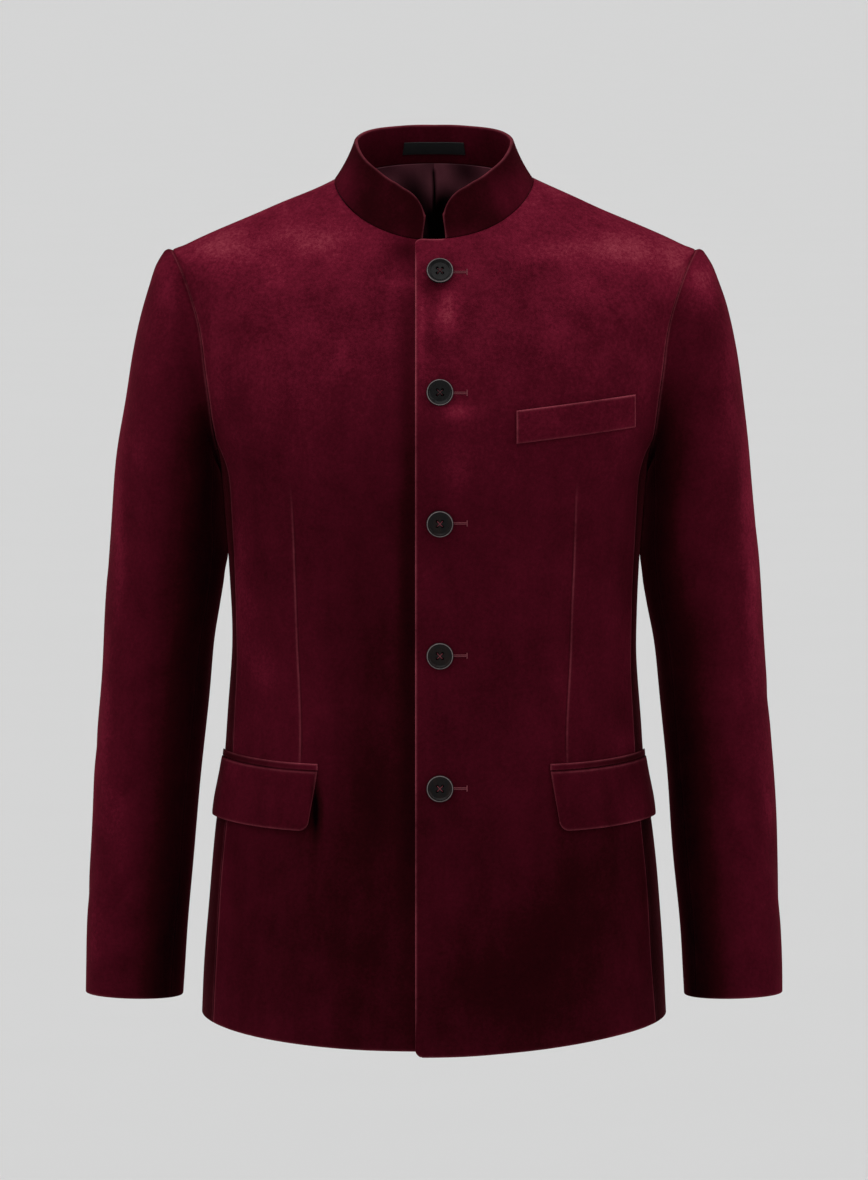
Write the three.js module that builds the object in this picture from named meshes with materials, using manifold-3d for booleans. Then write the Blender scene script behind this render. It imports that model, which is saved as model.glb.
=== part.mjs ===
// A man's nehru jacket in velvet, filled out as it is worn: stand collar, five-button front with the
// wearer's left side on top, a slanted breast welt, two flap pockets, waist darts, side panels, a centre
// back seam and two-piece sleeves. The neck, the hem and the cuffs are open.
// Millimetres. +Z is up, the front faces -Y and the wearer's left is +X. The origin is the middle of the
// neck, level with the two points where the collar meets the shoulder seams.

import * as THREE from "three";
import { mergeVertices } from "three/addons/utils/BufferGeometryUtils.js";
import Module from "manifold-3d";

const wasm = await Module();
wasm.setup();

const RADIANS = Math.PI / 180;
const lerp = THREE.MathUtils.lerp;
const smooth = THREE.MathUtils.smoothstep;

// ---------------------------------------------------------------- driving sizes

const BODY_WALL = 2.4; // velvet, canvas and lining together
const SLEEVE_WALL = 2.0;
const COLLAR_WALL = 3.0;
const LINING_WALL = 1.0;
const SEAM_GAP = 0.3;
const LAP = 16; // how far each front runs past the middle
const LAP_EASE = 64; // where the upper front has come down to the body again
const LAP_STEP = 3.5; // the first column's width
const LAP_LIFT = BODY_WALL + SEAM_GAP;
const HEM_DROP = 5; // the upper front is this much longer at the middle
const HEM_DROP_END = 170; // and no longer at this far from it
const FRONT_CORNER = [5, 1.2]; // how far the upper front's corners are cut, at its edge and a column in

// The body's sections, from the hem to the neck. Each is half a superellipse in plan in front and half
// behind. side: half width. sideZ, frontZ, backZ: height at the side, the middle front and the middle
// back. front, back: depth. power: the superellipse's exponent. rise: how the height runs with depth.
const SECTIONS = [
  { sideZ: -721, side: 202.3, frontZ: -740, front: 130, backZ: -716, back: 124, power: 2.4, rise: 2 },
  { sideZ: -640, side: 196.5, frontZ: -658, front: 129, backZ: -635, back: 119, power: 2.4, rise: 2 },
  { sideZ: -560, side: 188.4, frontZ: -577, front: 126.5, backZ: -554, back: 110, power: 2.4, rise: 2 },
  { sideZ: -480, side: 179.6, frontZ: -496, front: 123.5, backZ: -473, back: 100, power: 2.4, rise: 2 },
  { sideZ: -400, side: 174.4, frontZ: -415, front: 121.5, backZ: -391, back: 95, power: 2.4, rise: 2 },
  { sideZ: -330, side: 177.2, frontZ: -345, front: 124.5, backZ: -320, back: 101, power: 2.4, rise: 2 },
  { sideZ: -290, side: 180.2, frontZ: -305, front: 128, backZ: -279, back: 107.5, power: 2.4, rise: 2 },
  { sideZ: -250, side: 184, frontZ: -266, front: 131.5, backZ: -240, back: 114, power: 2.4, rise: 2 },
  { sideZ: -205, side: 201.5, frontZ: -232, front: 134, backZ: -205, back: 118.5, power: 2.4, rise: 2 },
  { sideZ: -150, side: 214, frontZ: -202, front: 133, backZ: -170, back: 120, power: 2.38, rise: 2 },
  { sideZ: -105, side: 218.5, frontZ: -180, front: 129.5, backZ: -145, back: 118.5, power: 2.25, rise: 2 },
  { sideZ: -80, side: 223, frontZ: -167, front: 126.5, backZ: -131, back: 116.5, power: 2.1, rise: 2 },
  { sideZ: -61, side: 225.5, frontZ: -156, front: 123, backZ: -117, back: 112.5, power: 1.95, rise: 2 },
  { sideZ: -56, side: 214.5, frontZ: -148, front: 120, backZ: -107, back: 109.4, power: 2.05, rise: 1.95 },
  { sideZ: -49.5, side: 201, frontZ: -137, front: 116, backZ: -95, back: 105.5, power: 2.25, rise: 1.9 },
  { sideZ: -25, side: 144, frontZ: -97, front: 99.5, backZ: -44, back: 88, power: 2.15, rise: 1.5 },
  { sideZ: 0, side: 86, frontZ: -49, front: 76, backZ: 13, back: 63, power: 2.05, rise: 1.3 },
];
const SOFTENING = 24; // how far up and down the sections are averaged
const SOFTENING_SHARES = [-1, -0.5, 0, 0.5, 1];
const HEM = SECTIONS[0].sideZ;
const SHOULDER = -61; // the shoulder seam's outer end
const NECK = 0;

// The armhole is an oval on the body. Its angle runs from the shoulder seam over the front.
const ARMHOLE = { top: SHOULDER, bottom: -250, front: 66, back: 70, fullness: 0.85 };
const ARM_STEP = 10; // degrees
const FRONT_END = 130; // where the front gives way to the side panel
const BACK_END = 230;

// The side panel's seams, as depth before and behind the middle of the side. They end at the armhole.
const SIDE_SEAMS = [
  { sideZ: HEM, front: 54, back: 56 },
  { sideZ: -560, front: 50, back: 52 },
  { sideZ: -400, front: 38, back: 44 },
  { sideZ: armholeLevel(FRONT_END), front: -armholeDepth(FRONT_END), back: armholeDepth(BACK_END) },
];

// The waist darts, as the distance from the middle and how deep they pinch.
const DARTS = [
  { sideZ: HEM, out: 112, pinch: 0 },
  { sideZ: -500, out: 113, pinch: 0 },
  { sideZ: -470, out: 113, pinch: 0.8 },
  { sideZ: -380, out: 117, pinch: 1.4 },
  { sideZ: -270, out: 120, pinch: 0.5 },
  { sideZ: -235, out: 121, pinch: 0 },
  { sideZ: SHOULDER, out: 118, pinch: 0 },
  { sideZ: NECK, out: 69, pinch: 0 },
];

// The sleeve's sections, from the armhole to the cuff: outer and inner end in the front view, half
// depth, and the depth of the section's middle.
const SLEEVE = [
  { outX: 225.5, outZ: -61, inX: 184, inZ: -250, deep: 68, mid: 2 },
  { outX: 231.5, outZ: -62, inX: 186.2, inZ: -254, deep: 69, mid: 2 },
  { outX: 239, outZ: -72, inX: 184.8, inZ: -260, deep: 70, mid: 2 },
  { outX: 246.5, outZ: -93, inX: 183.4, inZ: -268, deep: 71, mid: 2 },
  { outX: 254.5, outZ: -121, inX: 182.2, inZ: -278, deep: 72, mid: 3 },
  { outX: 262, outZ: -156, inX: 181, inZ: -290, deep: 72, mid: 3 },
  { outX: 267.5, outZ: -195, inX: 179.9, inZ: -304, deep: 71.5, mid: 3 },
  { outX: 272.5, outZ: -234, inX: 178.5, inZ: -322, deep: 70, mid: 3 },
  { outX: 276.6, outZ: -280, inX: 180.4, inZ: -343, deep: 67.5, mid: 3 },
  { outX: 281, outZ: -329, inX: 184.4, inZ: -367, deep: 64.5, mid: 2 },
  { outX: 285.6, outZ: -383, inX: 190.4, inZ: -400, deep: 61.5, mid: 0 },
  { outX: 289.6, outZ: -447, inX: 195.9, inZ: -452, deep: 58, mid: -4 },
  { outX: 293.9, outZ: -515, inX: 202, inZ: -517, deep: 54.5, mid: -11 },
  { outX: 297.2, outZ: -586, inX: 207.8, inZ: -588, deep: 51, mid: -18 },
  { outX: 299.2, outZ: -645, inX: 212.6, inZ: -647, deep: 48.5, mid: -25 },
  { outX: 300, outZ: -700, inX: 216, inZ: -702, deep: 47, mid: -30 },
];
const SLEEVE_FULLNESS = 0.9; // the power of the sine in the sleeve's ovals
const ARMHOLE_FADE = 6; // sections over which the armhole's own shape turns into the sleeve's
const FOREARM_SEAM = 140; // degrees round the sleeve, from the outside over the front
const HINDARM_SEAM = 260;

// The collar, from a front end round to the middle back: turn is the angle round the neck.
const COLLAR = [
  { turn: 0, tall: 39, lean: 14 },
  { turn: 20, tall: 41, lean: 16 },
  { turn: 32, tall: 44, lean: 21 },
  { turn: 48, tall: 44.5, lean: 28 },
  { turn: 65, tall: 42, lean: 29.5 },
  { turn: 90, tall: 39, lean: 32 },
  { turn: 120, tall: 37.5, lean: 24.5 },
  { turn: 150, tall: 35.2, lean: 20.5 },
  { turn: 180, tall: 35, lean: 23 },
];
const COLLAR_CORNER = 20;
const COLLAR_BEND = { foot: 1.15, fall: 0.3 }; // the lean's share at the seam, and how much less at the top
const COLLAR_ENDS = { left: 9.5, right: 7.5 }; // past the middle, on each front
const COLLAR_ROWS = 4;

const BUTTON_HEIGHTS = [-77, -177.2, -287.3, -401, -514.6];
const BUTTON_X = 5;
const BUTTON = { radius: 11.6, foot: 10, rim: 2.2, thick: 3.4, dish: 1.2, sides: 20 };
const HOLES = { radius: 1.15, spacing: 4.6, sides: 6 };
const SHANK = { radius: 3.2, tall: 1.1 }; // the thread that the button stands on

// Pockets: the breast welt's corners in the front view; the flaps run back to backY, and their line goes
// from the section frontTop to the section backTop. stand is how far their lower edge stands off the body.
const WELT = { x0: 70, z0: -192, x1: 171, z1: -180, tall: 28, thick: 2.2 };
const FLAP = { x: 99, backY: -6, frontTop: -488, backTop: -497.5, width: 132, tall: 51.5, slant: 7 };
const FLAP_EDGE = { thick: 2.4, corner: 9, stand: 2.5 };
const JET = { tall: 5.5, thick: 1.4 };
const LABEL = { width: 60, low: 9, high: 20, thick: 0.6 };
// The lining's pleat at the middle: how deep it is, how wide, and how far below the neck it is full.
const LINING = { gap: 0.45, steps: [0, 0.25, 0.55], fold: 4, foldWidth: 8, foldStart: -12, foldFull: 60 };

const FRONT_COLUMNS = 10; // beyond the lap
const DART_SHARE = 0.62; // the dart's column lies at most this share of the way out
const BACK_COLUMNS = 10;
const SEAM_ROWS = 11;
const SHOULDER_ROWS = [0.08, 0.22, 0.42, 0.62, 0.82, 1]; // shares of the way from shoulder to neck

// ---------------------------------------------------------------- curves and surfaces

// A smooth curve through a table's column that never overshoots its points.
function column(rows, key, name) {
  const x = rows.map((r) => r[key]);
  const y = rows.map((r) => r[name]);
  const step = x.slice(1).map((v, i) => v - x[i]);
  const rate = step.map((h, i) => (y[i + 1] - y[i]) / h);
  const slope = x.map((_, i) => {
    if (i === 0) return rate[0];
    if (i === x.length - 1) return rate[i - 1];
    const [before, after] = [rate[i - 1], rate[i]];
    if (before * after <= 0) return 0;
    const [a, b] = [2 * step[i] + step[i - 1], step[i] + 2 * step[i - 1]];
    return (a + b) / (a / before + b / after);
  });
  return (at) => {
    const v = THREE.MathUtils.clamp(at, x[0], x[x.length - 1]);
    let i = 0;
    while (i < step.length - 1 && v > x[i + 1]) i += 1;
    const t = (v - x[i]) / step[i];
    const [t2, t3] = [t * t, t * t * t];
    return (
      (2 * t3 - 3 * t2 + 1) * y[i] +
      (t3 - 2 * t2 + t) * step[i] * slope[i] +
      (3 * t2 - 2 * t3) * y[i + 1] +
      (t3 - t2) * step[i] * slope[i + 1]
    );
  };
}

const body = {};
for (const name of ["side", "frontZ", "front", "backZ", "back", "power", "rise"])
  body[name] = column(SECTIONS, "sideZ", name);
const seamFront = column(SIDE_SEAMS, "sideZ", "front");
const seamBack = column(SIDE_SEAMS, "sideZ", "back");
const dartOut = column(DARTS, "sideZ", "out");
const dartPinch = column(DARTS, "sideZ", "pinch");

// A point of the section whose side is at height level. turn: radians from the middle front round to
// the middle back.
function sectionPoint(level, turn) {
  const inFront = Math.cos(turn) > 0;
  const deep = inFront ? body.front(level) : body.back(level);
  const endZ = inFront ? body.frontZ(level) : body.backZ(level);
  const power = body.power(level);
  const across = Math.abs(Math.sin(turn)) / body.side(level);
  const along = Math.abs(Math.cos(turn)) / deep;
  const reach = Math.pow(Math.pow(across, power) + Math.pow(along, power), -1 / power);
  const share = reach * along;
  const z = lerp(level, endZ, Math.pow(share, body.rise(level)));
  return new THREE.Vector3(reach * Math.sin(turn), -reach * Math.cos(turn), z);
}

// A point of the body: the mean of nearby sections, which softens it between its middle and its sides.
function bodyPoint(level, turn) {
  const room = Math.max(0, Math.min(NECK - level, level - HEM));
  const spread = Math.min(SOFTENING * Math.sin(2 * turn) ** 2, room);
  const point = new THREE.Vector3();
  for (const share of SOFTENING_SHARES) point.add(sectionPoint(level + share * spread, turn));
  return point.divideScalar(SOFTENING_SHARES.length);
}

// The outward normal of a surface that is a function of two parameters.
function normalOf(surface, u, v, stepU, stepV) {
  const alongU = surface(u + stepU, v).sub(surface(u - stepU, v));
  const alongV = surface(u, v + stepV).sub(surface(u, v - stepV));
  return alongV.cross(alongU).normalize();
}

function bodyNormal(level, turn) {
  const safe = THREE.MathUtils.clamp(level, HEM + 1, NECK - 1);
  return normalOf(bodyPoint, safe, turn, 1, 0.004);
}

// The turn at which a section is y deep, or x from the middle.
function turnAtDepth(level, y) {
  const deep = y < 0 ? body.front(level) : body.back(level);
  const power = body.power(level);
  const share = Math.min(1, Math.abs(y) / deep);
  const x = body.side(level) * Math.pow(1 - Math.pow(share, power), 1 / power);
  return Math.atan2(x, -y);
}

function turnAtX(level, x) {
  const power = body.power(level);
  const share = Math.min(1, Math.abs(x) / body.side(level));
  const y = body.front(level) * Math.pow(1 - Math.pow(share, power), 1 / power);
  return Math.atan2(x, y);
}

// The armhole at an angle in degrees: the section's level, the depth there, and the turn on it.
function armholeLevel(angle) {
  return lerp(ARMHOLE.bottom, ARMHOLE.top, (1 + Math.cos(angle * RADIANS)) / 2);
}

function armholeDepth(angle) {
  const sine = Math.sin(angle * RADIANS);
  return (sine > 0 ? -ARMHOLE.front : ARMHOLE.back) * Math.pow(Math.abs(sine), ARMHOLE.fullness);
}

function armhole(angle) {
  const level = armholeLevel(angle);
  return { level, turn: turnAtDepth(level, armholeDepth(angle)) };
}

// ---------------------------------------------------------------- solids

// A closed wall between two grids of points of the same size.
function wallGeometry(outer, inner) {
  const rows = outer.length;
  const columns = outer[0].length;
  const points = [...outer.flat(), ...inner.flat()];
  const at = (layer, r, c) => layer * rows * columns + r * columns + c;
  const index = [];
  const quad = (a, b, c, d) => index.push(a, b, c, a, c, d);
  for (let r = 0; r + 1 < rows; r += 1)
    for (let c = 0; c + 1 < columns; c += 1) {
      quad(at(0, r, c), at(0, r, c + 1), at(0, r + 1, c + 1), at(0, r + 1, c));
      quad(at(1, r, c), at(1, r + 1, c), at(1, r + 1, c + 1), at(1, r, c + 1));
    }
  const edge = (r0, c0, r1, c1) => quad(at(1, r0, c0), at(1, r1, c1), at(0, r1, c1), at(0, r0, c0));
  for (let c = 0; c + 1 < columns; c += 1) {
    edge(0, c, 0, c + 1);
    edge(rows - 1, c + 1, rows - 1, c);
  }
  for (let r = 0; r + 1 < rows; r += 1) {
    edge(r + 1, 0, r, 0);
    edge(r, columns - 1, r + 1, columns - 1);
  }
  const geometry = new THREE.BufferGeometry();
  geometry.setAttribute("position", new THREE.Float32BufferAttribute(points.flatMap((p) => [...p]), 3));
  geometry.setIndex(volumeOf(points, index) < 0 ? turned(index) : index);
  geometry.computeVertexNormals();
  return geometry;
}

function volumeOf(points, index) {
  let sum = 0;
  const cross = new THREE.Vector3();
  for (let i = 0; i < index.length; i += 3)
    sum += points[index[i]].dot(cross.crossVectors(points[index[i + 1]], points[index[i + 2]]));
  return sum;
}

function turned(index) {
  const out = index.slice();
  for (let i = 0; i < out.length; i += 3) [out[i + 1], out[i + 2]] = [out[i + 2], out[i + 1]];
  return out;
}

// The same grid with each point moved along its normal.
const moved = (grid, distance) =>
  grid.map((row) =>
    row.map((spot) => {
      const by = typeof distance === "function" ? distance(spot.point, spot) : distance;
      return spot.point.clone().addScaledVector(spot.normal, by);
    }),
  );

const mirrored = (grid) => grid.map((row) => row.map((p) => new THREE.Vector3(-p.x, p.y, p.z)));

// Moves a wall's chosen edges in by half a seam's gap, square to the edge.
function seamed(outer, inner, sides) {
  const rows = outer.length - 1;
  const columns = outer[0].length - 1;
  const lines = {
    first: { count: rows, spot: (i) => [i, 0], next: (i) => [i, 1] },
    last: { count: rows, spot: (i) => [i, columns], next: (i) => [i, columns - 1] },
    bottom: { count: columns, spot: (i) => [0, i], next: (i) => [1, i] },
    top: { count: columns, spot: (i) => [rows, i], next: (i) => [rows - 1, i] },
  };
  const at = (grid, [r, c]) => grid[r][c];
  for (const side of sides) {
    const { count, spot, next } = lines[side];
    const steps = [];
    for (let i = 0; i <= count; i += 1) {
      const here = at(outer, spot(i));
      const along = at(outer, spot(Math.min(i + 1, count))).clone();
      along.sub(at(outer, spot(Math.max(i - 1, 0))));
      const through = here.clone().sub(at(inner, spot(i)));
      const step = along.cross(through).setLength(SEAM_GAP / 2);
      const inwards = at(outer, next(i)).clone().sub(here);
      steps.push(step.dot(inwards) < 0 ? step.negate() : step);
    }
    steps.forEach((step, i) => {
      at(outer, spot(i)).add(step);
      at(inner, spot(i)).add(step);
    });
  }
}

function clothMaterial(color, roughness) {
  return new THREE.MeshStandardMaterial({ color, roughness, metalness: 0, side: THREE.DoubleSide });
}

const VELVET = clothMaterial(0x4a0a18, 0.85);
const LINING_SATIN = clothMaterial(0x54202e, 0.45);
const LABEL_SATIN = clothMaterial(0x0b0a0c, 0.5);
const HORN = new THREE.MeshStandardMaterial({ color: 0x1d1614, roughness: 0.3, metalness: 0 });

const jacket = new THREE.Group();

function addPiece(name, geometry, material) {
  const mesh = new THREE.Mesh(geometry, material);
  mesh.name = name;
  jacket.add(mesh);
}

// Adds a pair of like pieces, left and right, from the left one's two grids.
function addPair(name, outer, inner, material) {
  addPiece(name + "_left", wallGeometry(outer, inner), material);
  addPiece(name + "_right", wallGeometry(mirrored(outer), mirrored(inner)), material);
}

// ---------------------------------------------------------------- body panels

// The levels of a front's or back's rows: side seam, armhole, shoulder seam.
function panelRows(endAngle) {
  const seamTop = armhole(endAngle).level;
  const rows = [];
  for (let i = 0; i < SEAM_ROWS; i += 1) rows.push({ level: lerp(HEM, seamTop, i / SEAM_ROWS) });
  const direction = endAngle < 180 ? -1 : 1;
  const last = endAngle < 180 ? 0 : 360;
  for (let angle = endAngle; angle !== last + direction * ARM_STEP; angle += direction * ARM_STEP)
    rows.push({ level: armhole(angle).level, angle });
  for (const share of SHOULDER_ROWS) rows.push({ level: lerp(SHOULDER, NECK, share), onShoulder: true });
  return rows;
}

// The turn of a row's outer end: on the side panel's seam, the armhole or the shoulder seam.
function outerTurn(row, inFront) {
  if (row.onShoulder) return 90 * RADIANS;
  if (row.angle !== undefined) return armhole(row.angle).turn;
  return turnAtDepth(row.level, inFront ? -seamFront(row.level) : seamBack(row.level));
}

// One front as a grid of points with normals. end: where the collar ends on it.
function frontGrid(end) {
  const eased = [0, 0.5, 1].map((t) => lerp(LAP + LAP_STEP, LAP_EASE, t));
  const lapX = [-LAP, LAP_STEP - LAP, (end - LAP) / 2, end, ...eased];
  return panelRows(FRONT_END).map((row) => {
    const outerEnd = outerTurn(row, true);
    const turns = lapX.map((x) => turnAtX(row.level, x));
    const start = turns[turns.length - 1];
    const dart = Math.min(turnAtX(row.level, dartOut(row.level)), lerp(start, outerEnd, DART_SHARE));
    for (let i = 1; i <= FRONT_COLUMNS; i += 1) {
      const half = FRONT_COLUMNS / 2;
      turns.push(i <= half ? lerp(start, dart, i / half) : lerp(dart, outerEnd, i / half - 1));
    }
    return turns.map((turn, i) => {
      const normal = bodyNormal(row.level, turn);
      const point = bodyPoint(row.level, turn);
      if (i === lapX.length - 1 + FRONT_COLUMNS / 2) point.addScaledVector(normal, -dartPinch(row.level));
      return { point, normal };
    });
  });
}

// How far the upper front stands off the body, to lie on the lower one.
const lapLift = (point) => LAP_LIFT * (1 - smooth(point.x, LAP + 6, LAP_EASE));

// Rounds the upper front's free corners and lets its hem down towards the middle.
function shapeFrontEdge(grid) {
  const rows = grid.length - 1;
  for (const [end, next] of [[0, 1], [rows, rows - 1]])
    FRONT_CORNER.forEach((cut, c) => {
      const step = grid[next][c].clone().sub(grid[end][c]).setLength(cut);
      grid[end][c].add(step);
    });
  for (const point of grid[0]) point.z -= HEM_DROP * (1 - smooth(point.x, -LAP, HEM_DROP_END));
}

function addFronts() {
  const upper = frontGrid(COLLAR_ENDS.left);
  const leftOuter = moved(upper, lapLift);
  const leftInner = moved(upper, (p) => lapLift(p) - BODY_WALL);
  shapeFrontEdge(leftOuter);
  shapeFrontEdge(leftInner);
  seamed(leftOuter, leftInner, ["last"]);
  const lower = frontGrid(COLLAR_ENDS.right);
  const rightOuter = moved(lower, 0);
  const rightInner = moved(lower, -BODY_WALL);
  seamed(rightOuter, rightInner, ["last"]);
  addPiece("front_left", wallGeometry(leftOuter, leftInner), VELVET);
  addPiece("front_right", wallGeometry(mirrored(rightOuter), mirrored(rightInner)), VELVET);
  return { panel: leftOuter, left: leftOuter.at(-1), right: rightOuter.at(-1) };
}

function addBacks() {
  const grid = panelRows(BACK_END).map((row) => {
    const outerEnd = outerTurn(row, false);
    return Array.from({ length: BACK_COLUMNS + 1 }, (_, i) => {
      const turn = lerp(Math.PI, outerEnd, i / BACK_COLUMNS);
      return { point: bodyPoint(row.level, turn), normal: bodyNormal(row.level, turn) };
    });
  });
  const outer = moved(grid, 0);
  const inner = moved(grid, -BODY_WALL);
  const neck = outer[outer.length - 1].map((p) => p.clone());
  seamed(outer, inner, ["first", "last"]);
  addPair("back", outer, inner, VELVET);
  return { grid, neck };
}

// The side panel runs up to the bottom of the armhole.
function addSidePanels() {
  const columns = (BACK_END - FRONT_END) / ARM_STEP;
  const grid = Array.from({ length: SEAM_ROWS + 1 }, (_, r) =>
    Array.from({ length: columns + 1 }, (_, c) => {
      const angle = FRONT_END + c * ARM_STEP;
      const between = (at) => lerp(-seamFront(at), seamBack(at), c / columns);
      const level = lerp(HEM, armholeLevel(angle), r / SEAM_ROWS);
      const offLine = armholeDepth(angle) - between(armholeLevel(FRONT_END));
      const y = between(lerp(HEM, armholeLevel(FRONT_END), r / SEAM_ROWS)) + offLine * (r / SEAM_ROWS);
      const turn = turnAtDepth(level, y);
      return { point: bodyPoint(level, turn), normal: bodyNormal(level, turn) };
    }),
  );
  const outer = moved(grid, 0);
  const inner = moved(grid, -BODY_WALL);
  seamed(outer, inner, ["first", "last", "top"]);
  addPair("side_panel", outer, inner, VELVET);
}

// ---------------------------------------------------------------- sleeves

const sleeveRows = SLEEVE.map((row, place) => ({ place, ...row }));
const sleeve = {};
for (const name of ["outX", "outZ", "inX", "inZ", "deep", "mid"])
  sleeve[name] = column(sleeveRows, "place", name);

// A plain oval section of the sleeve. place counts the table's rows; angle is in degrees.
function sleeveOval(place, angle) {
  const across = Math.cos(angle * RADIANS);
  const sine = Math.sin(angle * RADIANS);
  const deep = sleeve.deep(place) * Math.sign(sine) * Math.pow(Math.abs(sine), SLEEVE_FULLNESS);
  return new THREE.Vector3(
    lerp(sleeve.inX(place), sleeve.outX(place), (1 + across) / 2),
    sleeve.mid(place) - deep,
    lerp(sleeve.inZ(place), sleeve.outZ(place), (1 + across) / 2),
  );
}

// The sleeve's surface: its ovals, with the armhole's own shape fading out over the first sections.
function sleevePoint(place, angle) {
  const hole = armhole(((angle % 360) + 360) % 360);
  const own = bodyPoint(hole.level, hole.turn).sub(sleeveOval(0, angle));
  const left = Math.max(0, 1 - place / ARMHOLE_FADE);
  return sleeveOval(place, angle).addScaledVector(own, left * left);
}

function sleeveNormal(place, angle) {
  const safe = THREE.MathUtils.clamp(place, 0.06, SLEEVE.length - 1.06);
  return normalOf(sleevePoint, safe, angle, 0.05, 0.5);
}

function sleeveGrid(fromAngle, toAngle) {
  const columns = Math.round((toAngle - fromAngle) / ARM_STEP);
  return SLEEVE.map((_, place) =>
    Array.from({ length: columns + 1 }, (_, c) => {
      const angle = fromAngle + c * ARM_STEP;
      return { point: sleevePoint(place, angle), normal: sleeveNormal(place, angle) };
    }),
  );
}

function addSleeves() {
  const pieces = [
    ["sleeve_top", HINDARM_SEAM - 360, FOREARM_SEAM],
    ["sleeve_under", FOREARM_SEAM, HINDARM_SEAM],
  ];
  for (const [name, from, to] of pieces) {
    const grid = sleeveGrid(from, to);
    const outer = moved(grid, 0);
    const inner = moved(grid, -SLEEVE_WALL);
    seamed(outer, inner, ["bottom", "first", "last"]);
    addPair(name, outer, inner, VELVET);
  }
}

// ---------------------------------------------------------------- collar, label and lining

const collarTall = column(COLLAR, "turn", "tall");
const collarLean = column(COLLAR, "turn", "lean");

// The collar's seam line from the left front's end, round the back, to the right front's end, with
// short steps at the ends where its corners are rounded.
function collarBase(necks, backNeck) {
  const first = 3;
  const left = necks.left.slice(first);
  const right = necks.right.slice(first).map((p) => new THREE.Vector3(-p.x, p.y, p.z));
  const backLeft = backNeck.slice(0, -1).reverse();
  const backRight = backNeck.slice(1, -1).map((p) => new THREE.Vector3(-p.x, p.y, p.z));
  const line = [...left, ...backLeft, ...backRight, ...right.reverse()];
  const steps = [0.1, 0.25, 0.45, 0.7];
  const between = (a, b, list) => list.map((t) => a.clone().lerp(b, t));
  const last = line.length - 1;
  const before = [...between(line[0], line[1], steps), line[1], ...between(line[1], line[2], [0.5])];
  const backwards = (list) => list.map((t) => 1 - t).reverse();
  const after = [
    ...between(line[last - 2], line[last - 1], [0.5]),
    line[last - 1],
    ...between(line[last - 1], line[last], backwards(steps)),
  ];
  return [line[0], ...before, ...line.slice(2, last - 1), ...after, line[last]];
}

// The collar's outer face, a row of points for each height.
function collarGrid(base) {
  const along = [0];
  for (let i = 1; i < base.length; i += 1) along.push(along[i - 1] + base[i].distanceTo(base[i - 1]));
  const total = along[along.length - 1];
  const columns = base.map((p, i) => {
    const turn = Math.abs(Math.atan2(p.x, -p.y)) / RADIANS;
    const lean = collarLean(turn) * RADIANS;
    const inward = new THREE.Vector3(-p.x, -p.y, 0).normalize();
    const fromEnd = Math.min(along[i], total - along[i]);
    const missing = Math.max(0, COLLAR_CORNER - fromEnd);
    const cut = COLLAR_CORNER - Math.sqrt(COLLAR_CORNER ** 2 - missing ** 2);
    const tall = collarTall(turn) - cut;
    return { p, lean, inward, tall };
  });
  return Array.from({ length: COLLAR_ROWS + 1 }, (_, r) =>
    columns.map(({ p, lean, inward, tall }) => {
      const h = SEAM_GAP + (tall - SEAM_GAP) * (r / COLLAR_ROWS);
      const bent = lean * (COLLAR_BEND.foot - COLLAR_BEND.fall * (h / tall));
      const up = new THREE.Vector3(0, 0, Math.cos(bent) * h);
      return p.clone().add(up).addScaledVector(inward, Math.sin(bent) * h);
    }),
  );
}

// Normals of a grid of points, from its own rows and columns, facing away from the z axis.
function gridNormals(grid) {
  const rows = grid.length - 1;
  const columns = grid[0].length - 1;
  return grid.map((row, r) =>
    row.map((p, c) => {
      const alongRow = row[Math.min(c + 1, columns)].clone().sub(row[Math.max(c - 1, 0)]);
      const up = grid[Math.min(r + 1, rows)][c].clone().sub(grid[Math.max(r - 1, 0)][c]);
      const normal = alongRow.cross(up).normalize();
      if (normal.x * p.x + normal.y * p.y < 0) normal.negate();
      return { point: p, normal };
    }),
  );
}

function addCollar(necks, backNeck) {
  const grid = gridNormals(collarGrid(collarBase(necks, backNeck)));
  addPiece("collar", wallGeometry(moved(grid, 0), moved(grid, -COLLAR_WALL)), VELVET);
  return grid;
}

// The blank label lies on the inside of the collar at the middle back.
function addLabel(collar) {
  const inner = moved(collar, -COLLAR_WALL - SEAM_GAP);
  const heightShare = (h) => h / collarTall(180);
  const pointAt = (x, h) => {
    const share = heightShare(h) * COLLAR_ROWS;
    const low = inner[Math.floor(share)];
    const high = inner[Math.floor(share) + 1];
    const c = low.findIndex((p, i) => p.y > 0 && p.x >= x && low[i + 1] && low[i + 1].x < x);
    const t = (low[c].x - x) / (low[c].x - low[c + 1].x);
    const onLow = low[c].clone().lerp(low[c + 1], t);
    const onHigh = high[c].clone().lerp(high[c + 1], t);
    return onLow.lerp(onHigh, share - Math.floor(share));
  };
  const columns = 8;
  const face = [LABEL.low, LABEL.high].map((h) =>
    Array.from({ length: columns + 1 }, (_, i) => pointAt(lerp(-0.5, 0.5, i / columns) * LABEL.width, h)),
  );
  const off = new THREE.Vector3(0, -LABEL.thick, 0);
  const clear = new THREE.Vector3(0, -SEAM_GAP, 0);
  const near = face.map((row) => row.map((p) => p.clone().add(clear)));
  const far = near.map((row) => row.map((p) => p.clone().add(off)));
  addPiece("label", wallGeometry(near, far), LABEL_SATIN);
}

// A point and normal part of the way between two.
const blended = (a, b, t) => ({
  point: a.point.clone().lerp(b.point, t),
  normal: a.normal.clone().lerp(b.normal, t).normalize(),
});

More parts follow.
